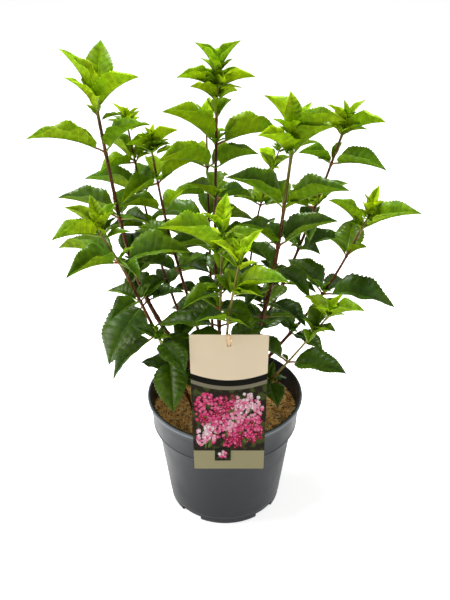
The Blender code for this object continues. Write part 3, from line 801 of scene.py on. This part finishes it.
CANES = {
    "left_tall": Cane((-24, 34), (-110, 40, 280), (-136, 35, 502), 6.4, (
        (0.40, (227, -42, 90, 4, 0.84), (13, 7, 46), (115, 5, 60)),
        (0.58, (270, 15, 58), (95, 10, 62)),
        (0.75, (181, 22, 74), (323, 10, 46), (80, 14, 56)),
        (0.92, (205, 19, 90, 50, 0.44), (339, 40, 62)),
        (1.00, (86, 54, 76, 20, 0.5), (358, 38, 64), (143, 48, 72, 50, 0.42), (205, 50, 50, 16)),
    ), (100, 40)),
    "left_low": Cane((-46, 14), (-108, -40, 350), (-126, -80, 414), 4.2, (
        (0.22, (196, -40, 74, 40, 0.5), (300, -20, 66)),
        (0.38, (58, 7, 50), (236, 4, 50), (150, 0, 46)),
        (0.68, (157, 2, 76), (226, 8, 70), (14, 2, 78), (306, -4, 42)),
        (0.96, (219, 14, 58), (69, 33, 42), (165, 36, 48)),
    ), (130, 40)),
    "left_back": Cane((-26, 54), (-88, 90, 305), (-115, 115, 463), 3.8, (
        (0.32, (190, -12, 54), (352, -16, 48), (95, -5, 56)),
        (0.49, (232, -23, 60), (30, -28, 44), (120, 5, 62)),
        (0.62, (200, 5, 56), (330, 0, 46)),
        (0.76, (181, 19, 72), (28, 40, 60), (85, 10, 66)),
        (0.88, (222, 0, 52), (60, 22, 54), (150, 25, 56)),
    ), (166, 28)),
    "left_mid": Cane((-12, 40), (-67, 40, 355), (-80, 25, 468), 4.2, (
        (0.20, (250, -8, 54), (68, -5, 50)),
        (0.36, (178, 14, 50), (319, 18, 50), (70, 0, 50)),
        (0.52, (146, 0, 50), (340, -10, 52), (245, 5, 46)),
        (0.68, (60, 5, 46), (200, 15, 52)),
        (0.83, (230, -5, 58), (13, 26, 58), (110, 15, 50)),
        (0.97, (341, 42, 42), (221, 26, 36)),
    ), (75, 26)),
    "mid_tall": Cane((0, 28), (-13, 20, 306), (-8, 30, 540), 4.8, (
        (0.30, (172, -4, 62), (350, -4, 60)),
        (0.46, (262, 5, 56), (80, 5, 56), (5, 0, 54)),
        (0.60, (165, 5, 62), (335, -2, 62), (250, 12, 46)),
        (0.75, (216, 38, 46), (31, -8, 48), (100, 10, 56)),
        (0.83, (212, 18, 74), (336, 26, 56)),
        (0.88, (205, 37, 76), (22, 2, 78)),
        (0.93, (258, 42, 40), (60, 20, 34)),
        (0.96, (212, 33, 38), (50, 5, 34)),
        (0.98, (198, 20, 46), (10, 14, 42), (290, 30, 30)),
        (1.00, (170, 55, 40), (22, 52, 42)),
    ), (260, 34)),
    "mid_back": Cane((-14, 62), (-19, 95, 297), (-22, 125, 452), 4.0, (
        (0.24, (182, -12, 56), (2, -12, 56)),
        (0.43, (132, -13, 56), (47, -14, 60)),
        (0.55, (225, 0, 52), (315, 0, 52)),
        (0.67, (169, -1, 74), (20, -8, 60), (90, 5, 66)),
        (0.78, (210, 10, 50), (330, 10, 50), (60, 12, 50)),
        (0.88, (116, 5, 58), (41, 8, 56), (200, 20, 44)),
    ), (90, 42)),
    "mid_front": Cane((-10, 4), (-5, -35, 300), (-3, -65, 405), 4.0, (
        (0.39, (183, 2, 74, 14, 0.66), (14, -4, 56)),
        (0.51, (150, 8, 46), (325, -2, 46)),
        (0.63, (222, 5, 54), (60, -7, 44)),
        (0.77, (95, 8, 48), (285, 0, 40)),
        (0.90, (207, 34, 84), (316, 44, 38), (20, 25, 50)),
    ), (262, 46)),
    "front": Cane((4, -8), (0, -48, 275), (14, -98, 388), 3.8, (
        (0.44, (172, 8, 48), (30, 14, 46)),
        (0.62, (216, 20, 46), (40, -2, 52), (324, 14, 44)),
        (0.83, (332, 27, 72), (110, 11, 58), (305, 18, 42)),
    ), (20, 42)),
    "right_thick": Cane((12, 14), (55, 5, 294), (70, -15, 490), 6.0, (
        (0.27, (232, -8, 58), (52, -2, 56)),
        (0.35, (0, -6, 58), (180, 4, 48)),
        (0.42, (314, -2, 62), (148, -4, 44)),
        (0.50, (235, 0, 50), (45, 6, 50)),
        (0.59, (312, -10, 58), (123, 19, 52)),
        (0.70, (4, 24, 72), (192, 36, 56), (85, 5, 50)),
        (0.83, (190, 33, 76), (342, 24, 76), (95, 12, 52)),
        (0.96, (222, 36, 60), (335, 42, 58)),
        (1.00, (130, 35, 56), (322, 25, 58), (105, 58, 46, 20, 0.5)),
    ), (215, 46)),
    "right_back": Cane((20, 60), (34, 110, 333), (68, 150, 416), 3.2, (
        (0.30, (150, -6, 54), (330, -10, 50)),
        (0.50, (60, -8, 54), (190, -4, 46)),
        (0.67, (137, -4, 46), (30, -8, 46), (90, 8, 52)),
        (0.88, (167, 58, 28), (41, 18, 34), (80, 20, 44)),
    ), (120, 30)),
    "right_tall": Cane((10, 48), (85, 85, 285), (136, 75, 474), 4.8, (
        (0.24, (20, -15, 56), (200, -10, 50)),
        (0.40, (85, -10, 56), (225, -8, 52), (330, 0, 46)),
        (0.58, (12, 8, 60), (310, 12, 38), (112, 10, 50)),
        (0.67, (270, 8, 44), (70, 8, 52)),
        (0.76, (37, 19, 56), (194, 10, 62), (100, 5, 60)),
        (0.90, (198, 24, 46), (325, 7, 70), (60, 30, 34)),
        (0.97, (331, 26, 56), (197, 44, 30), (90, 35, 40)),
    ), (10, 34)),
    "right_far": Cane((18, 34), (118, 32, 270), (157, -5, 399), 4.4, (
        (0.27, (316, -4, 52), (130, 20, 44)),
        (0.55, (137, 18, 66), (340, 0, 86), (45, -8, 54)),
        (0.81, (168, 45, 28), (322, 38, 32), (76, 24, 56, 12)),
        (0.94, (339, 25, 70), (179, 42, 52)),
    ), (60, 36)),
    "right_low": Cane((24, 2), (64, -40, 215), (109, -95, 327), 3.6, (
        (0.30, (282, -6, 44), (45, -20, 34)),
        (0.60, (157, 14, 68), (335, 4, 70)),
        (0.88, (190, 60, 24), (312, 30, 36), (272, 16, 36), (50, 40, 46)),
        (0.98, (325, 29, 48), (123, 10, 40)),
    ), (40, 28)),
    "left_short": Cane((-40, -8), (-55, -30, 210), (-76, -40, 262), 3.4, (
        (0.50, (120, -4, 50), (322, -18, 46)),
        (0.75, (276, -36, 66, 14), (116, 2, 50)),
        (0.97, (304, -16, 56, 14), (150, 12, 36)),
    ), (70, 20)),
}


def cane_point(cane, share):
    """A point of the cane's curve, drawn from foot to tip towards its knee."""
    foot = Vector((*cane.foot, SOIL_TOP + CLEAR))
    rest = 1 - share
    knee_weight = 3 * share * rest
    return foot * rest**3 + Vector(cane.knee) * knee_weight + Vector(cane.tip) * share**3


def cane_along(cane, share):
    """The cane's direction at a share of the way up."""
    step = 0.002
    ahead = cane_point(cane, min(share + step, 1))
    return (ahead - cane_point(cane, max(share - step, 0))).normalized()


def cane_radius(cane, share):
    """Half the cane's thickness: a flared foot, then an even taper."""
    height = cane_point(cane, share).z - SOIL_TOP
    flare = (FLARE - 1) * max(0, 1 - height / FLARE_HEIGHT) ** 2
    return cane.thick / 2 * (1 + flare) * (1 - (1 - TIP_SHARE) * share)


def leaves_of(name, cane):
    """Every leaf of a cane in its first attitude: the leaves at its nodes, then its bud."""
    found = []
    for number, (share, *leaves) in enumerate(cane.nodes):
        for place, (turn, rise, length, *form) in enumerate(leaves):
            chance = random.Random(f"{name} node {number} leaf {place}")
            root = cane_point(cane, share)
            open_share = (root.z - FOLD_LOW_HEIGHT) / (FOLD_HIGH_HEIGHT - FOLD_LOW_HEIGHT)
            fold = FOLD_LOW + (FOLD_HIGH - FOLD_LOW) * min(1, max(0, open_share))
            fold = form[0] if form else fold
            ratio = form[1] if len(form) > 1 else BLADE_RATIO * chance.uniform(0.94, 1.06)
            found.append(Leaf(
                root, radians(turn), radians(rise), length,
                radians(chance.uniform(-12, 12)), radians(fold + chance.uniform(-6, 6)),
                ratio,
            ))
    turn, length = cane.bud
    tip = Vector(cane.tip)
    along = cane_along(cane, 1)
    for number, (share, rise, twist) in enumerate(BUD_PAIRS):
        for half in (0, 180):
            chance = random.Random(f"{name} bud {number} leaf {half}")
            found.append(Leaf(
                tip - along * (1 + BUD_SPACING * (len(BUD_PAIRS) - 1 - number) / 2),
                radians(turn + twist + half + chance.uniform(-14, 14)),
                radians(rise + chance.uniform(-6, 6)), length * share * chance.uniform(0.92, 1.08),
                radians(chance.uniform(-10, 10)), radians(YOUNG_FOLD + chance.uniform(-8, 8)),
                YOUNG_RATIO,
            ))
    return found


def reach_of(leaf):
    """The direction from a leaf's root to its tip."""
    return Vector((cos(leaf.turn) * cos(leaf.rise), sin(leaf.turn) * cos(leaf.rise), sin(leaf.rise)))


def attitudes(leaf):
    """The leaf as it first stands, then swung, raised and shortened little by little."""
    for share in SHARES:
        for lift in LIFTS:
            for swing in SWINGS:
                yield leaf._replace(
                    turn=leaf.turn + radians(swing),
                    rise=leaf.rise + radians(lift),
                    length=leaf.length * share,
                )


def as_built(name, cane):
    """The leaves of a cane in the attitudes that its solid has."""
    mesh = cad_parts[f"leaves_{name}"].data
    tips = KDTree(len(mesh.vertices))
    for number, vert in enumerate(mesh.vertices):
        tips.insert(vert.co / MM, number)
    tips.balance()
    found = []
    for leaf in leaves_of(name, cane):
        tried = []
        for number, leaf in enumerate(attitudes(leaf)):
            gap = tips.find(leaf.root + reach_of(leaf) * leaf.length)[2]
            tried.append((gap, number, leaf))
        exact = [row for row in tried if row[0] < TIP_MATCH]
        gap, _, best = exact[0] if exact else min(tried)
        if gap < TIP_LOST:
            found.append((best, gap))
    return found


plant = {}
loose = 0
for name, cane in CANES.items():
    rows = as_built(name, cane)
    loose += sum(gap > TIP_MATCH for _, gap in rows)
    plant[name] = [leaf for leaf, _ in rows]
print("leaves:", sum(map(len, plant.values())), "tips not on a corner of the solid:", loose)

# %% [markdown]
# ## Leaves
# A hydrangea leaf is folded along its midrib like an open book and bows over towards its
# tip. Its side veins sweep forward and sink, so the blade is quilted between them, and its
# margin is toothed. A leaf could be a flat card with a picture of veins. Here it is a real
# blade: one grid whose rows follow the side veins, given a thickness, and then laid into
# every leaf's own fold, bow and width. Its rows beside each vein are narrow, so the vein is
# a thin strip of faces with its own pale colour. The same pale colour is painted on a thin
# strip along the margin, as a painted highlight on the leaf's edge.

# %% The blade's grid
VEIN_ROWS = (0.0, 0.06, 0.30, 0.56, 0.82)
TEETH = (1.0, 1.0, -1.0, 1.0, -1.0)
UPPER, UNDER, PALE_VEIN_OR_EDGE_HIGHLIGHT, UNDER_PALE_VEIN_OR_EDGE_HIGHLIGHT = 0, 1, 2, 3
FINISHES = 4
Grid = namedtuple("Grid", "mesh share part teeth column skin")


def blade_grid(name, veins, half_columns):
    """A grid with two skins, and where on the blade each of its corners belongs."""
    shares = [(vein + part) / veins for vein in range(veins) for part in VEIN_ROWS] + [1.0]
    parts = [part for _ in range(veins) for part in VEIN_ROWS] + [0.0]
    teeth = [tooth for _ in range(veins) for tooth in TEETH] + [0.0]
    rows = len(shares) - 1
    form = bmesh.new()
    bmesh.ops.create_grid(form, x_segments=rows, y_segments=2 * half_columns, size=1)
    bmesh.ops.solidify(form, geom=form.faces[:], thickness=1)
    bmesh.ops.recalc_face_normals(form, faces=form.faces)
    top = max(vert.co.z for vert in form.verts)
    marks = []
    for vert in form.verts:
        row = round((vert.co.x + 1) / 2 * rows)
        column = round(vert.co.y * half_columns)
        marks.append((row, column, 0 if vert.co.z > top - 0.5 else 1))
    for face in form.faces:
        spots = [marks[vert.index] for vert in face.verts]
        upper = sum(side for _, _, side in spots) == 0
        low_row = min(row for row, _, _ in spots)
        outer_column = max(abs(column) for _, column, _ in spots)
        vein = parts[low_row] == 0.0 and low_row > 0
        # Faces beside the veins and the midrib are pale veins; the outermost column, along the margin,
        # takes the same pale colour as a painted highlight.
        pale = vein or outer_column <= 1 or outer_column == half_columns
        face.material_index = (PALE_VEIN_OR_EDGE_HIGHLIGHT if upper else UNDER_PALE_VEIN_OR_EDGE_HIGHLIGHT) if pale else (UPPER if upper else UNDER)
        face.smooth = True
    mesh = mesh_of(name, form)
    marks = np.array(marks)
    return Grid(
        mesh, np.array(shares)[marks[:, 0]], np.array(parts)[marks[:, 0]],
        np.array(teeth)[marks[:, 0]], marks[:, 1] / half_columns, marks[:, 2],
    )


full_grid = blade_grid("blade", 8, 7)
small_grid = blade_grid("small_blade", 4, 4)
print("faces of a blade and of a small one:", len(full_grid.mesh.polygons), len(small_grid.mesh.polygons))

# %% [markdown]
# Every corner of the grid is then placed by a few curves: the outline's half width, the
# forward sweep of the side veins, the teeth, the fold, the bow, and the quilting.

# %% Laying a blade
SWEEP = 0.42
TOOTH = 0.045
QUILT = 0.032
QUILT_FULL = 46
CUP = 0.12
WAVE = 0.026
FULLER = 1.12
WIDEST = 0.3388
TOOTH_SHIFT = 0.010
TWIST = 12
NARROW_CUP = 0.6
MIDRIB_SINK = 0.25
MIDRIB_HALF = 0.45
EDGE_HIGHLIGHT_STRIP = 0.045
BLADE_THICK = 0.32


def width_at(share, ratio):
    """Half width of a blade, as a share of the blade's length."""
    share = np.clip(share, 0, 1)
    return ratio * FULLER / 2 * share**0.6 * (1 - share) ** 1.05 / WIDEST


def blade_corners(grid, leaf, chance):
    """Where the grid's corners go for one leaf, in millimetres."""
    across = np.abs(grid.column)
    side_sign = np.sign(grid.column)
    blade_start = PETIOLE_SHARE * leaf.length
    blade = leaf.length - blade_start
    edge = across > 0.99
    share = grid.share + SWEEP * across * (grid.share + 0.02) ** 0.6 * (1 - grid.share)
    share = np.where(edge, share + TOOTH_SHIFT * grid.teeth * (1 - grid.share), share)
    share = np.clip(share, 0, 1)
    half = blade * width_at(share, leaf.ratio)
    half = np.where(edge, half * (1 + TOOTH * grid.teeth), half)
    half = np.maximum(half, 0.75 * (1 - share) + 0.05)
    rib = np.minimum(MIDRIB_HALF * (1.1 - 0.9 * share) * (leaf.length / 65), half * 0.5)
    first = across[across > 0].min()
    # The outermost column is squeezed into a thin strip at the margin, which carries the painted highlight.
    outward = np.where(edge, 1, (1 - EDGE_HIGHLIGHT_STRIP) * (across - first) / (1 - 2 * first))
    out = np.where(across < first / 2, 0, rib + (half - rib) * outward)
    spread = np.clip(out / half, 0, 1)
    fold = leaf.fold * (1 + 0.12 * chance.uniform(-1, 1))
    flat = out * cos(fold)
    rise = out * sin(fold)
    rise = rise + CUP * half * np.sin(pi * spread) * (1 if leaf.ratio > 0.5 else NARROW_CUP)
    bulge = np.sin(pi * np.clip((grid.part - 0.04) / 0.96, 0, 1)) ** 0.8
    quilt = QUILT * min(blade, QUILT_FULL)
    rise = rise + quilt * bulge * spread**0.5 * (1 - spread**5) * (1 - share) ** 0.3
    phase = chance.uniform(0, 2 * pi)
    pace = chance.uniform(1.6, 2.8)
    wave = np.sin(2 * pi * pace * share + phase + side_sign * 0.9)
    rise = rise + WAVE * leaf.length * wave * spread**2 * 4 * share * (1 - share)
    rise = rise - MIDRIB_SINK * np.where(across < first / 2, 1, 0)
    rise = rise - BLADE_THICK * grid.skin * (1 - 0.6 * spread)
    place = blade_start + blade * share
    bow = place / leaf.length
    rise = rise + 4 * ARCH * leaf.length * bow * (1 - bow)
    twist = radians(chance.uniform(-TWIST, TWIST)) * share
    sideways = side_sign * flat
    sideways, rise = sideways - rise * np.sin(twist) * 0.3, rise + sideways * np.sin(twist)
    reach, side, up = axes_of(leaf)
    root = np.array(leaf.root)
    return root + np.outer(place, reach) + np.outer(sideways, side) + np.outer(rise, up)


def axes_of(leaf):
    """The leaf's own directions: towards its tip, across it, and out of its upper face."""
    reach = reach_of(leaf)
    side = Vector((-sin(leaf.turn), cos(leaf.turn), 0))
    side = Matrix.Rotation(leaf.roll, 3, reach) @ side
    return reach, side, reach.cross(side)


# %% [markdown]
# ## Leaf colours
# The youngest leaves at the tips are almost yellow, the next ones bright green, and the old
# ones low down dark and glossy with a bluish shine. Undersides are paler and yellower, most
# of all where light falls through them. Each leaf takes one of five plain greens by its age,
# with a little chance, and each green has an upper side, an underside and a vein colour. The
# vein colours are also painted on a thin strip along each margin, as a painted highlight.

# %% Leaf finishes
GREENS = (
    ("tip", (0.36, 0.52, 0.003), (0.36, 0.54, 0.003), 0.42, 0.15),
    ("fresh", (0.18, 0.31, 0.002), (0.25, 0.41, 0.002), 0.40, 0.18),
    ("mid", (0.092, 0.180, 0.002), (0.17, 0.30, 0.002), 0.36, 0.30),
    ("deep", (0.068, 0.140, 0.002), (0.13, 0.24, 0.002), 0.35, 0.38),
    ("old", (0.056, 0.116, 0.003), (0.10, 0.19, 0.003), 0.35, 0.42),
)
VEIN_AND_EDGE_HIGHLIGHT_PALE = 1.4
UNDER_DULLER = 0.2
UNDER_SHINE = 0.06
GLOW = 0.3
MOTTLE_AND_DAPPLE_DEPTH = 0.30


def leaf_finish(name, colour, roughness, shine):
    """Leaf skin: a clouded green with a fine grain that lets some light through."""
    made, surface, place = paint(name, colour, roughness, Specular_IOR_Level=shine)
    cool = (colour[0] * 0.8, colour[1] * 0.92, colour[2] + 0.004)
    warm = (min(1, colour[0] * 1.22), min(1, colour[1] * 1.08), colour[2])
    wash = place.noise(26, 1).above(0.5, 0.3).mix(cool, warm)
    # The mottle is partly the leaf's own uneven tone and partly painted shade, for the dapple that
    # neighbouring leaves throw on a blade.
    mottle_and_painted_dapple = place.noise(170, 3).above(0.5, 0.35)
    factor = mottle_and_painted_dapple * (2 * MOTTLE_AND_DAPPLE_DEPTH) + (1 - MOTTLE_AND_DAPPLE_DEPTH)
    grey = place.node("ShaderNodeCombineXYZ", None, {0: factor, 1: factor, 2: factor})
    times = {"data_type": "RGBA", "blend_type": "MULTIPLY"}
    cloud = place.node("ShaderNodeMix", times, {0: 1.0, 6: wash, 7: grey}, 2)
    feed(cloud, surface, "Base Color")
    feed((place.noise(1100, 2) * 0.35 + place.noise(240, 2)).bump(0.35, 0.6), surface, "Normal")
    through = place.node("ShaderNodeBsdfTranslucent", None, {"Color": rgba(shaded(colour, 1.2))})
    both = place.node("ShaderNodeMixShader", None, {
        0: GLOW, 1: Shade(place.tree, surface.outputs[0]), 2: through,
    })
    place.tree.links.new(both.socket, place.tree.nodes["Material Output"].inputs["Surface"])
    return made


leaf_finishes = []
for name, upper, under, roughness, shine in GREENS:
    dull = roughness + UNDER_DULLER
    # The vein and rib finishes colour the pale veins and also the thin strip along each margin, where they
    # are a painted highlight.
    for part, colour, rough, gloss in (
        ("upper", upper, roughness, shine),
        ("under", under, dull, UNDER_SHINE),
        ("vein", shaded(upper, VEIN_AND_EDGE_HIGHLIGHT_PALE), roughness, shine),
        ("rib", shaded(under, VEIN_AND_EDGE_HIGHLIGHT_PALE), dull, UNDER_SHINE),
    ):
        leaf_finishes.append(leaf_finish(f"leaf_{name}_{part}", colour, rough, gloss))
print("leaf finishes", len(leaf_finishes))

# %% [markdown]
# The blades of three or four canes are joined into one mesh, so that there are few pieces.
# Each takes the solids' leaves, and adds the small folded pair inside every bud.

# %% Joining the leaves
GROUPS = {
    "left": ("left_tall", "left_low", "left_back", "left_short"),
    "middle": ("left_mid", "mid_back", "mid_front", "front"),
    "tall": ("mid_tall", "right_back", "right_low"),
    "right": ("right_thick", "right_tall", "right_far"),
}
AGE_TOP, AGE_FOOT = 470, 200
AGE_START, AGE_LENGTH, AGE_BY_HEIGHT, AGE_CHANCE = 0.35, 62, 0.9, 0.35
OLDER = {
    "left_short": 2.1, "right_low": 0.8, "left_low": 0.85, "left_tall": 0.45, "right_thick": 0.4,
    "right_far": 0.7,
}


def green_of(name, leaf, cane, chance):
    """Which of the greens a leaf has: by how far it is below its cane's tip, and its height."""
    age = 0
    if leaf.ratio != YOUNG_RATIO:
        below = (Vector(cane.tip) - leaf.root).length
        lower = max(0, (AGE_TOP - leaf.root.z) / (AGE_TOP - AGE_FOOT))
        age = AGE_START + below / AGE_LENGTH + lower * AGE_BY_HEIGHT
    age += OLDER.get(name, 0) + chance.uniform(-AGE_CHANCE, AGE_CHANCE)
    return min(len(GREENS) - 1, max(0, int(age)))


def third_pair(cane):
    """The small folded leaves inside each bud, too fine for the solid."""
    turn, length = cane.bud
    for half in (0, 180):
        yield Leaf(
            Vector(cane.tip), radians(turn + half + 10), radians(80),
            max(length, 24) * 0.5, 0.0, radians(YOUNG_FOLD + 14), YOUNG_RATIO,
        )


def laid(name, grid, leaves):
    """One mesh of many blades: each row is a leaf, its green and its own chance."""
    form = bmesh.new()
    places = []
    for leaf, green, chance in leaves:
        first_face = len(form.faces)
        form.from_mesh(grid.mesh)
        form.faces.ensure_lookup_table()
        for index in range(first_face, len(form.faces)):
            form.faces[index].material_index += FINISHES * green
        places.append(blade_corners(grid, leaf, chance))
    mesh = mesh_of(name, form)
    mesh.vertices.foreach_set("co", (np.concatenate(places) * MM).ravel().astype(np.float32))
    mesh.update()
    return piece_of_mesh(name, mesh, leaf_finishes, 0)


for group, members in GROUPS.items():
    rows = []
    for name in members:
        cane = CANES[name]
        for number, leaf in enumerate(plant[name] + list(third_pair(cane))):
            chance = random.Random(f"{name} blade {number}")
            rows.append((leaf, green_of(name, leaf, cane, chance), chance))
    foliage = laid(f"foliage_{group}", full_grid, rows)
    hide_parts(*[f"leaves_{name}" for name in members])
    print("leaves in", group, len(rows))

# %% [markdown]
# ## Leaflets
# The tips of strong shoots are crowded: a rosette of small, half open leaves stands around
# the bud, where the flower head will come. Weaker shoots break from the leaf axils lower
# down, and show there as a pair or two of leaflets. Both are the same blade on a coarser
# grid, placed by the same turn and rise.

# %% Leaflets at tips and in axils
ROSETTES = {
    "mid_tall": (20, 27), "left_back": (18, 24), "left_mid": (22, 26), "right_tall": (18, 26),
    "right_far": (12, 19), "left_low": (8, 26), "left_tall": (4, 26), "mid_back": (8, 26),
    "mid_front": (6, 24), "front": (6, 24), "right_thick": (8, 30), "right_back": (8, 15),
    "right_low": (8, 17), "left_short": (2, 12),
}
ROSETTE_GREENS = {"left_mid": (1, 2, 2, 3), "mid_tall": (0, 1, 1, 2, 3), "right_tall": (0, 1, 1, 2)}
USUAL_GREENS = (0, 0, 1, 1)
AXIL_CHANCE = 0.62
AXIL_TOP = 0.97
SPIRAL_TURN = 137.5


def rosette(name, cane):
    """Small leaves around the tip, the outer ones lower and longer, the inner ones upright."""
    count, length = ROSETTES[name]
    along = cane_along(cane, 1)
    for k in range(count):
        chance = random.Random(f"{name} rosette {k}")
        inner = (k + 0.5) / count
        yield Leaf(
            Vector(cane.tip) - along * (1 - inner) * length * 0.6,
            radians(SPIRAL_TURN * k + chance.uniform(-14, 14)),
            radians(12 + 66 * inner + chance.uniform(-8, 8)),
            length * (1.15 - 0.6 * inner) * chance.uniform(0.85, 1.15),
            radians(chance.uniform(-16, 16)), radians(chance.uniform(22, 46)),
            chance.uniform(0.42, 0.56),
        )


def axil_leaflets(name, cane):
    """One or two pairs of leaflets that break just above a pair of leaves."""
    for number, (share, first, *_) in enumerate(cane.nodes):
        for half in (0, 180):
            chance = random.Random(f"{name} axil {number} {half}")
            if chance.random() > AXIL_CHANCE or share > AXIL_TOP:
                continue
            root = cane_point(cane, share) + cane_along(cane, share) * 2
            for _ in range(chance.choice((2, 2, 4))):
                yield Leaf(
                    root, radians(first[0] + half + chance.uniform(-55, 55)),
                    radians(chance.uniform(18, 66)), chance.uniform(11, 25),
                    radians(chance.uniform(-14, 14)), radians(chance.uniform(16, 44)),
                    chance.uniform(0.44, 0.58),
                )


for kind, grown in (("rosette", rosette), ("axil", axil_leaflets)):
    rows = []
    for name, cane in CANES.items():
        for number, leaf in enumerate(grown(name, cane)):
            chance = random.Random(f"{name} {kind} green {number}")
            if kind == "axil":
                green = max(1, green_of(name, leaf, cane, chance) - 1)
            else:
                green = chance.choice(ROSETTE_GREENS.get(name, USUAL_GREENS))
            rows.append((leaf, green, chance))
    laid(f"{kind}_leaflets", small_grid, rows)
    print(kind, "leaflets:", len(rows))

# %% [markdown]
# ## Canes and leaf stalks
# The canes are woody rods, dark reddish brown at the foot and olive near the tips, with a
# swelling at every node and small corky spots. They are drawn as curves whose radius swells
# at each node. Leaf stalks are thin curves too: each runs on under its blade as the midrib.

# %% Canes
CANE_POINTS = 110
CANE_RINGS = 4
NODE_SWELL = 0.38
NODE_LENGTH = 2.6
SCAR_SPACING = 34
LOWEST_SCAR = 0.08
LENGTH_STEPS = 50
GREEN_FROM = {
    "left_tall": 0.99, "left_low": 0.62, "left_back": 0.98, "left_mid": 0.95, "mid_tall": 0.98,
    "mid_back": 0.92, "mid_front": 0.55, "front": 0.40, "right_thick": 0.86, "right_back": 0.95,
    "right_tall": 0.97, "right_far": 0.93, "right_low": 0.45, "left_short": 0.90,
}
BARK, YOUNG_BARK, GREEN_BARK = 0, 1, 2
YOUNG_SPAN = 0.07


def cane_rows(name, cane):
    """The cane as short stretches of tube, brown below and green above."""
    marks = [cane_point(cane, k / LENGTH_STEPS) for k in range(LENGTH_STEPS + 1)]
    length = sum((after - before).length for before, after in zip(marks, marks[1:]))
    nodes = [share for share, *_ in cane.nodes]
    scar = nodes[0] - SCAR_SPACING / length
    while scar > LOWEST_SCAR:
        nodes.append(scar)
        scar -= SCAR_SPACING / length
    chance = random.Random(f"{name} bark")
    points = []
    for k in range(CANE_POINTS + 1):
        share = k / CANE_POINTS
        radius = cane_radius(cane, share)
        near = min(abs(share - node) * length for node in nodes)
        radius *= 1 + NODE_SWELL * max(0, 1 - near / NODE_LENGTH) ** 0.7
        radius *= 1 + chance.uniform(-0.025, 0.025)
        points.append((cane_point(cane, share), radius))
    turn = GREEN_FROM[name]
    first, second = int((turn - YOUNG_SPAN) * CANE_POINTS), int(turn * CANE_POINTS)
    yield points[:first + 1], BARK
    yield points[first:second + 1], YOUNG_BARK
    if second < CANE_POINTS:
        yield points[second:], GREEN_BARK


cane_table = [row for name, cane in CANES.items() for row in cane_rows(name, cane)]


def bark_finish(name, dark, pale, spot):
    """Bark: streaks along the cane, corky spots, and a satin skin."""
    made, surface, place = paint(name, dark, 0.42, Specular_IOR_Level=0.14)
    streaks = place.noise(260, 4, (1, 1, 0.16))
    skin = streaks.above(0.5, 0.35).mix(dark, pale)
    corky = place.noise(520, 1, (1, 1, 0.55)).above(0.66, 0.04)
    feed(corky.mix(skin, spot), surface, "Base Color")
    feed((streaks + corky * 0.6).bump(0.5, 0.7), surface, "Normal")
    feed(streaks * 0.25 + 0.32, surface, "Roughness")
    return made


bark_finishes = [
    bark_finish("bark_red_brown", (0.050, 0.013, 0.003), (0.15, 0.044, 0.012), (0.24, 0.11, 0.05)),
    bark_finish("bark_young", (0.090, 0.034, 0.008), (0.18, 0.085, 0.02), (0.26, 0.17, 0.08)),
    bark_finish("bark_green", (0.12, 0.095, 0.018), (0.22, 0.18, 0.035), (0.28, 0.20, 0.08)),
]
cane_mesh = strands("canes", cane_table, CANE_RINGS, bark_finishes)
canes = piece_of_mesh("canes", cane_mesh, bark_finishes, 0)
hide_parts(*[f"cane_{name}" for name in CANES])

# %% [markdown]
# A stalk starts a little thicker at the cane and thins out along the blade, just under its
# skin. Young ones are green all along, and many of the others are red up to the blade.

# %% Leaf stalks and midribs
STALK_RADIUS = 1.15
STALK_POINTS = (0.0, 0.05, 0.10, 0.145, 0.22, 0.36, 0.54, 0.72, 0.88)
STALK_RED, STALK_GREEN = 0, 1
STALK_SPLIT = 4
STALK_SINK = 0.12
TENDER_LENGTH = 40
TENDER_CHANCE = 0.35
stalk_rows = []
for name, cane in CANES.items():
    for number, leaf in enumerate(plant[name]):
        chance = random.Random(f"{name} stalk {number}")
        reach, side, up = axes_of(leaf)
        size = STALK_RADIUS * (0.45 + 0.55 * min(1, leaf.length / 60))
        points = []
        for share in STALK_POINTS:
            height = 4 * ARCH * leaf.length * share * (1 - share)
            sink = 0 if share < PETIOLE_SHARE else BLADE_THICK + STALK_SINK
            radius = size * (1.25 if share == 0 else 1) * (1 - 0.95 * max(0, share - 0.1)) ** 1.6
            sink += radius * 0.25 if share > PETIOLE_SHARE else 0
            points.append((leaf.root + reach * (leaf.length * share) + up * (height - sink), radius))
        tender = leaf.ratio == YOUNG_RATIO or (Vector(cane.tip) - leaf.root).length < TENDER_LENGTH
        green = tender or chance.random() < TENDER_CHANCE
        stalk_rows.append((points[:STALK_SPLIT], STALK_GREEN if green else STALK_RED))
        stalk_rows.append((points[STALK_SPLIT - 1:], STALK_GREEN))
stalk_finishes = []
for name, dark, pale in (
    ("stalk_red", (0.20, 0.055, 0.012), (0.32, 0.12, 0.02)),
    ("stalk_green", (0.16, 0.26, 0.012), (0.26, 0.38, 0.03)),
):
    made, surface, place = paint(name, dark, 0.42)
    feed(place.noise(120, 2).above(0.5, 0.4).mix(dark, pale), surface, "Base Color")
    feed(place.noise(900, 2).bump(0.15, 0.5), surface, "Normal")
    stalk_finishes.append(made)
stalk_mesh = strands("leaf_stalks", stalk_rows, 1, stalk_finishes)
piece_of_mesh("leaf_stalks", stalk_mesh, stalk_finishes, 0)
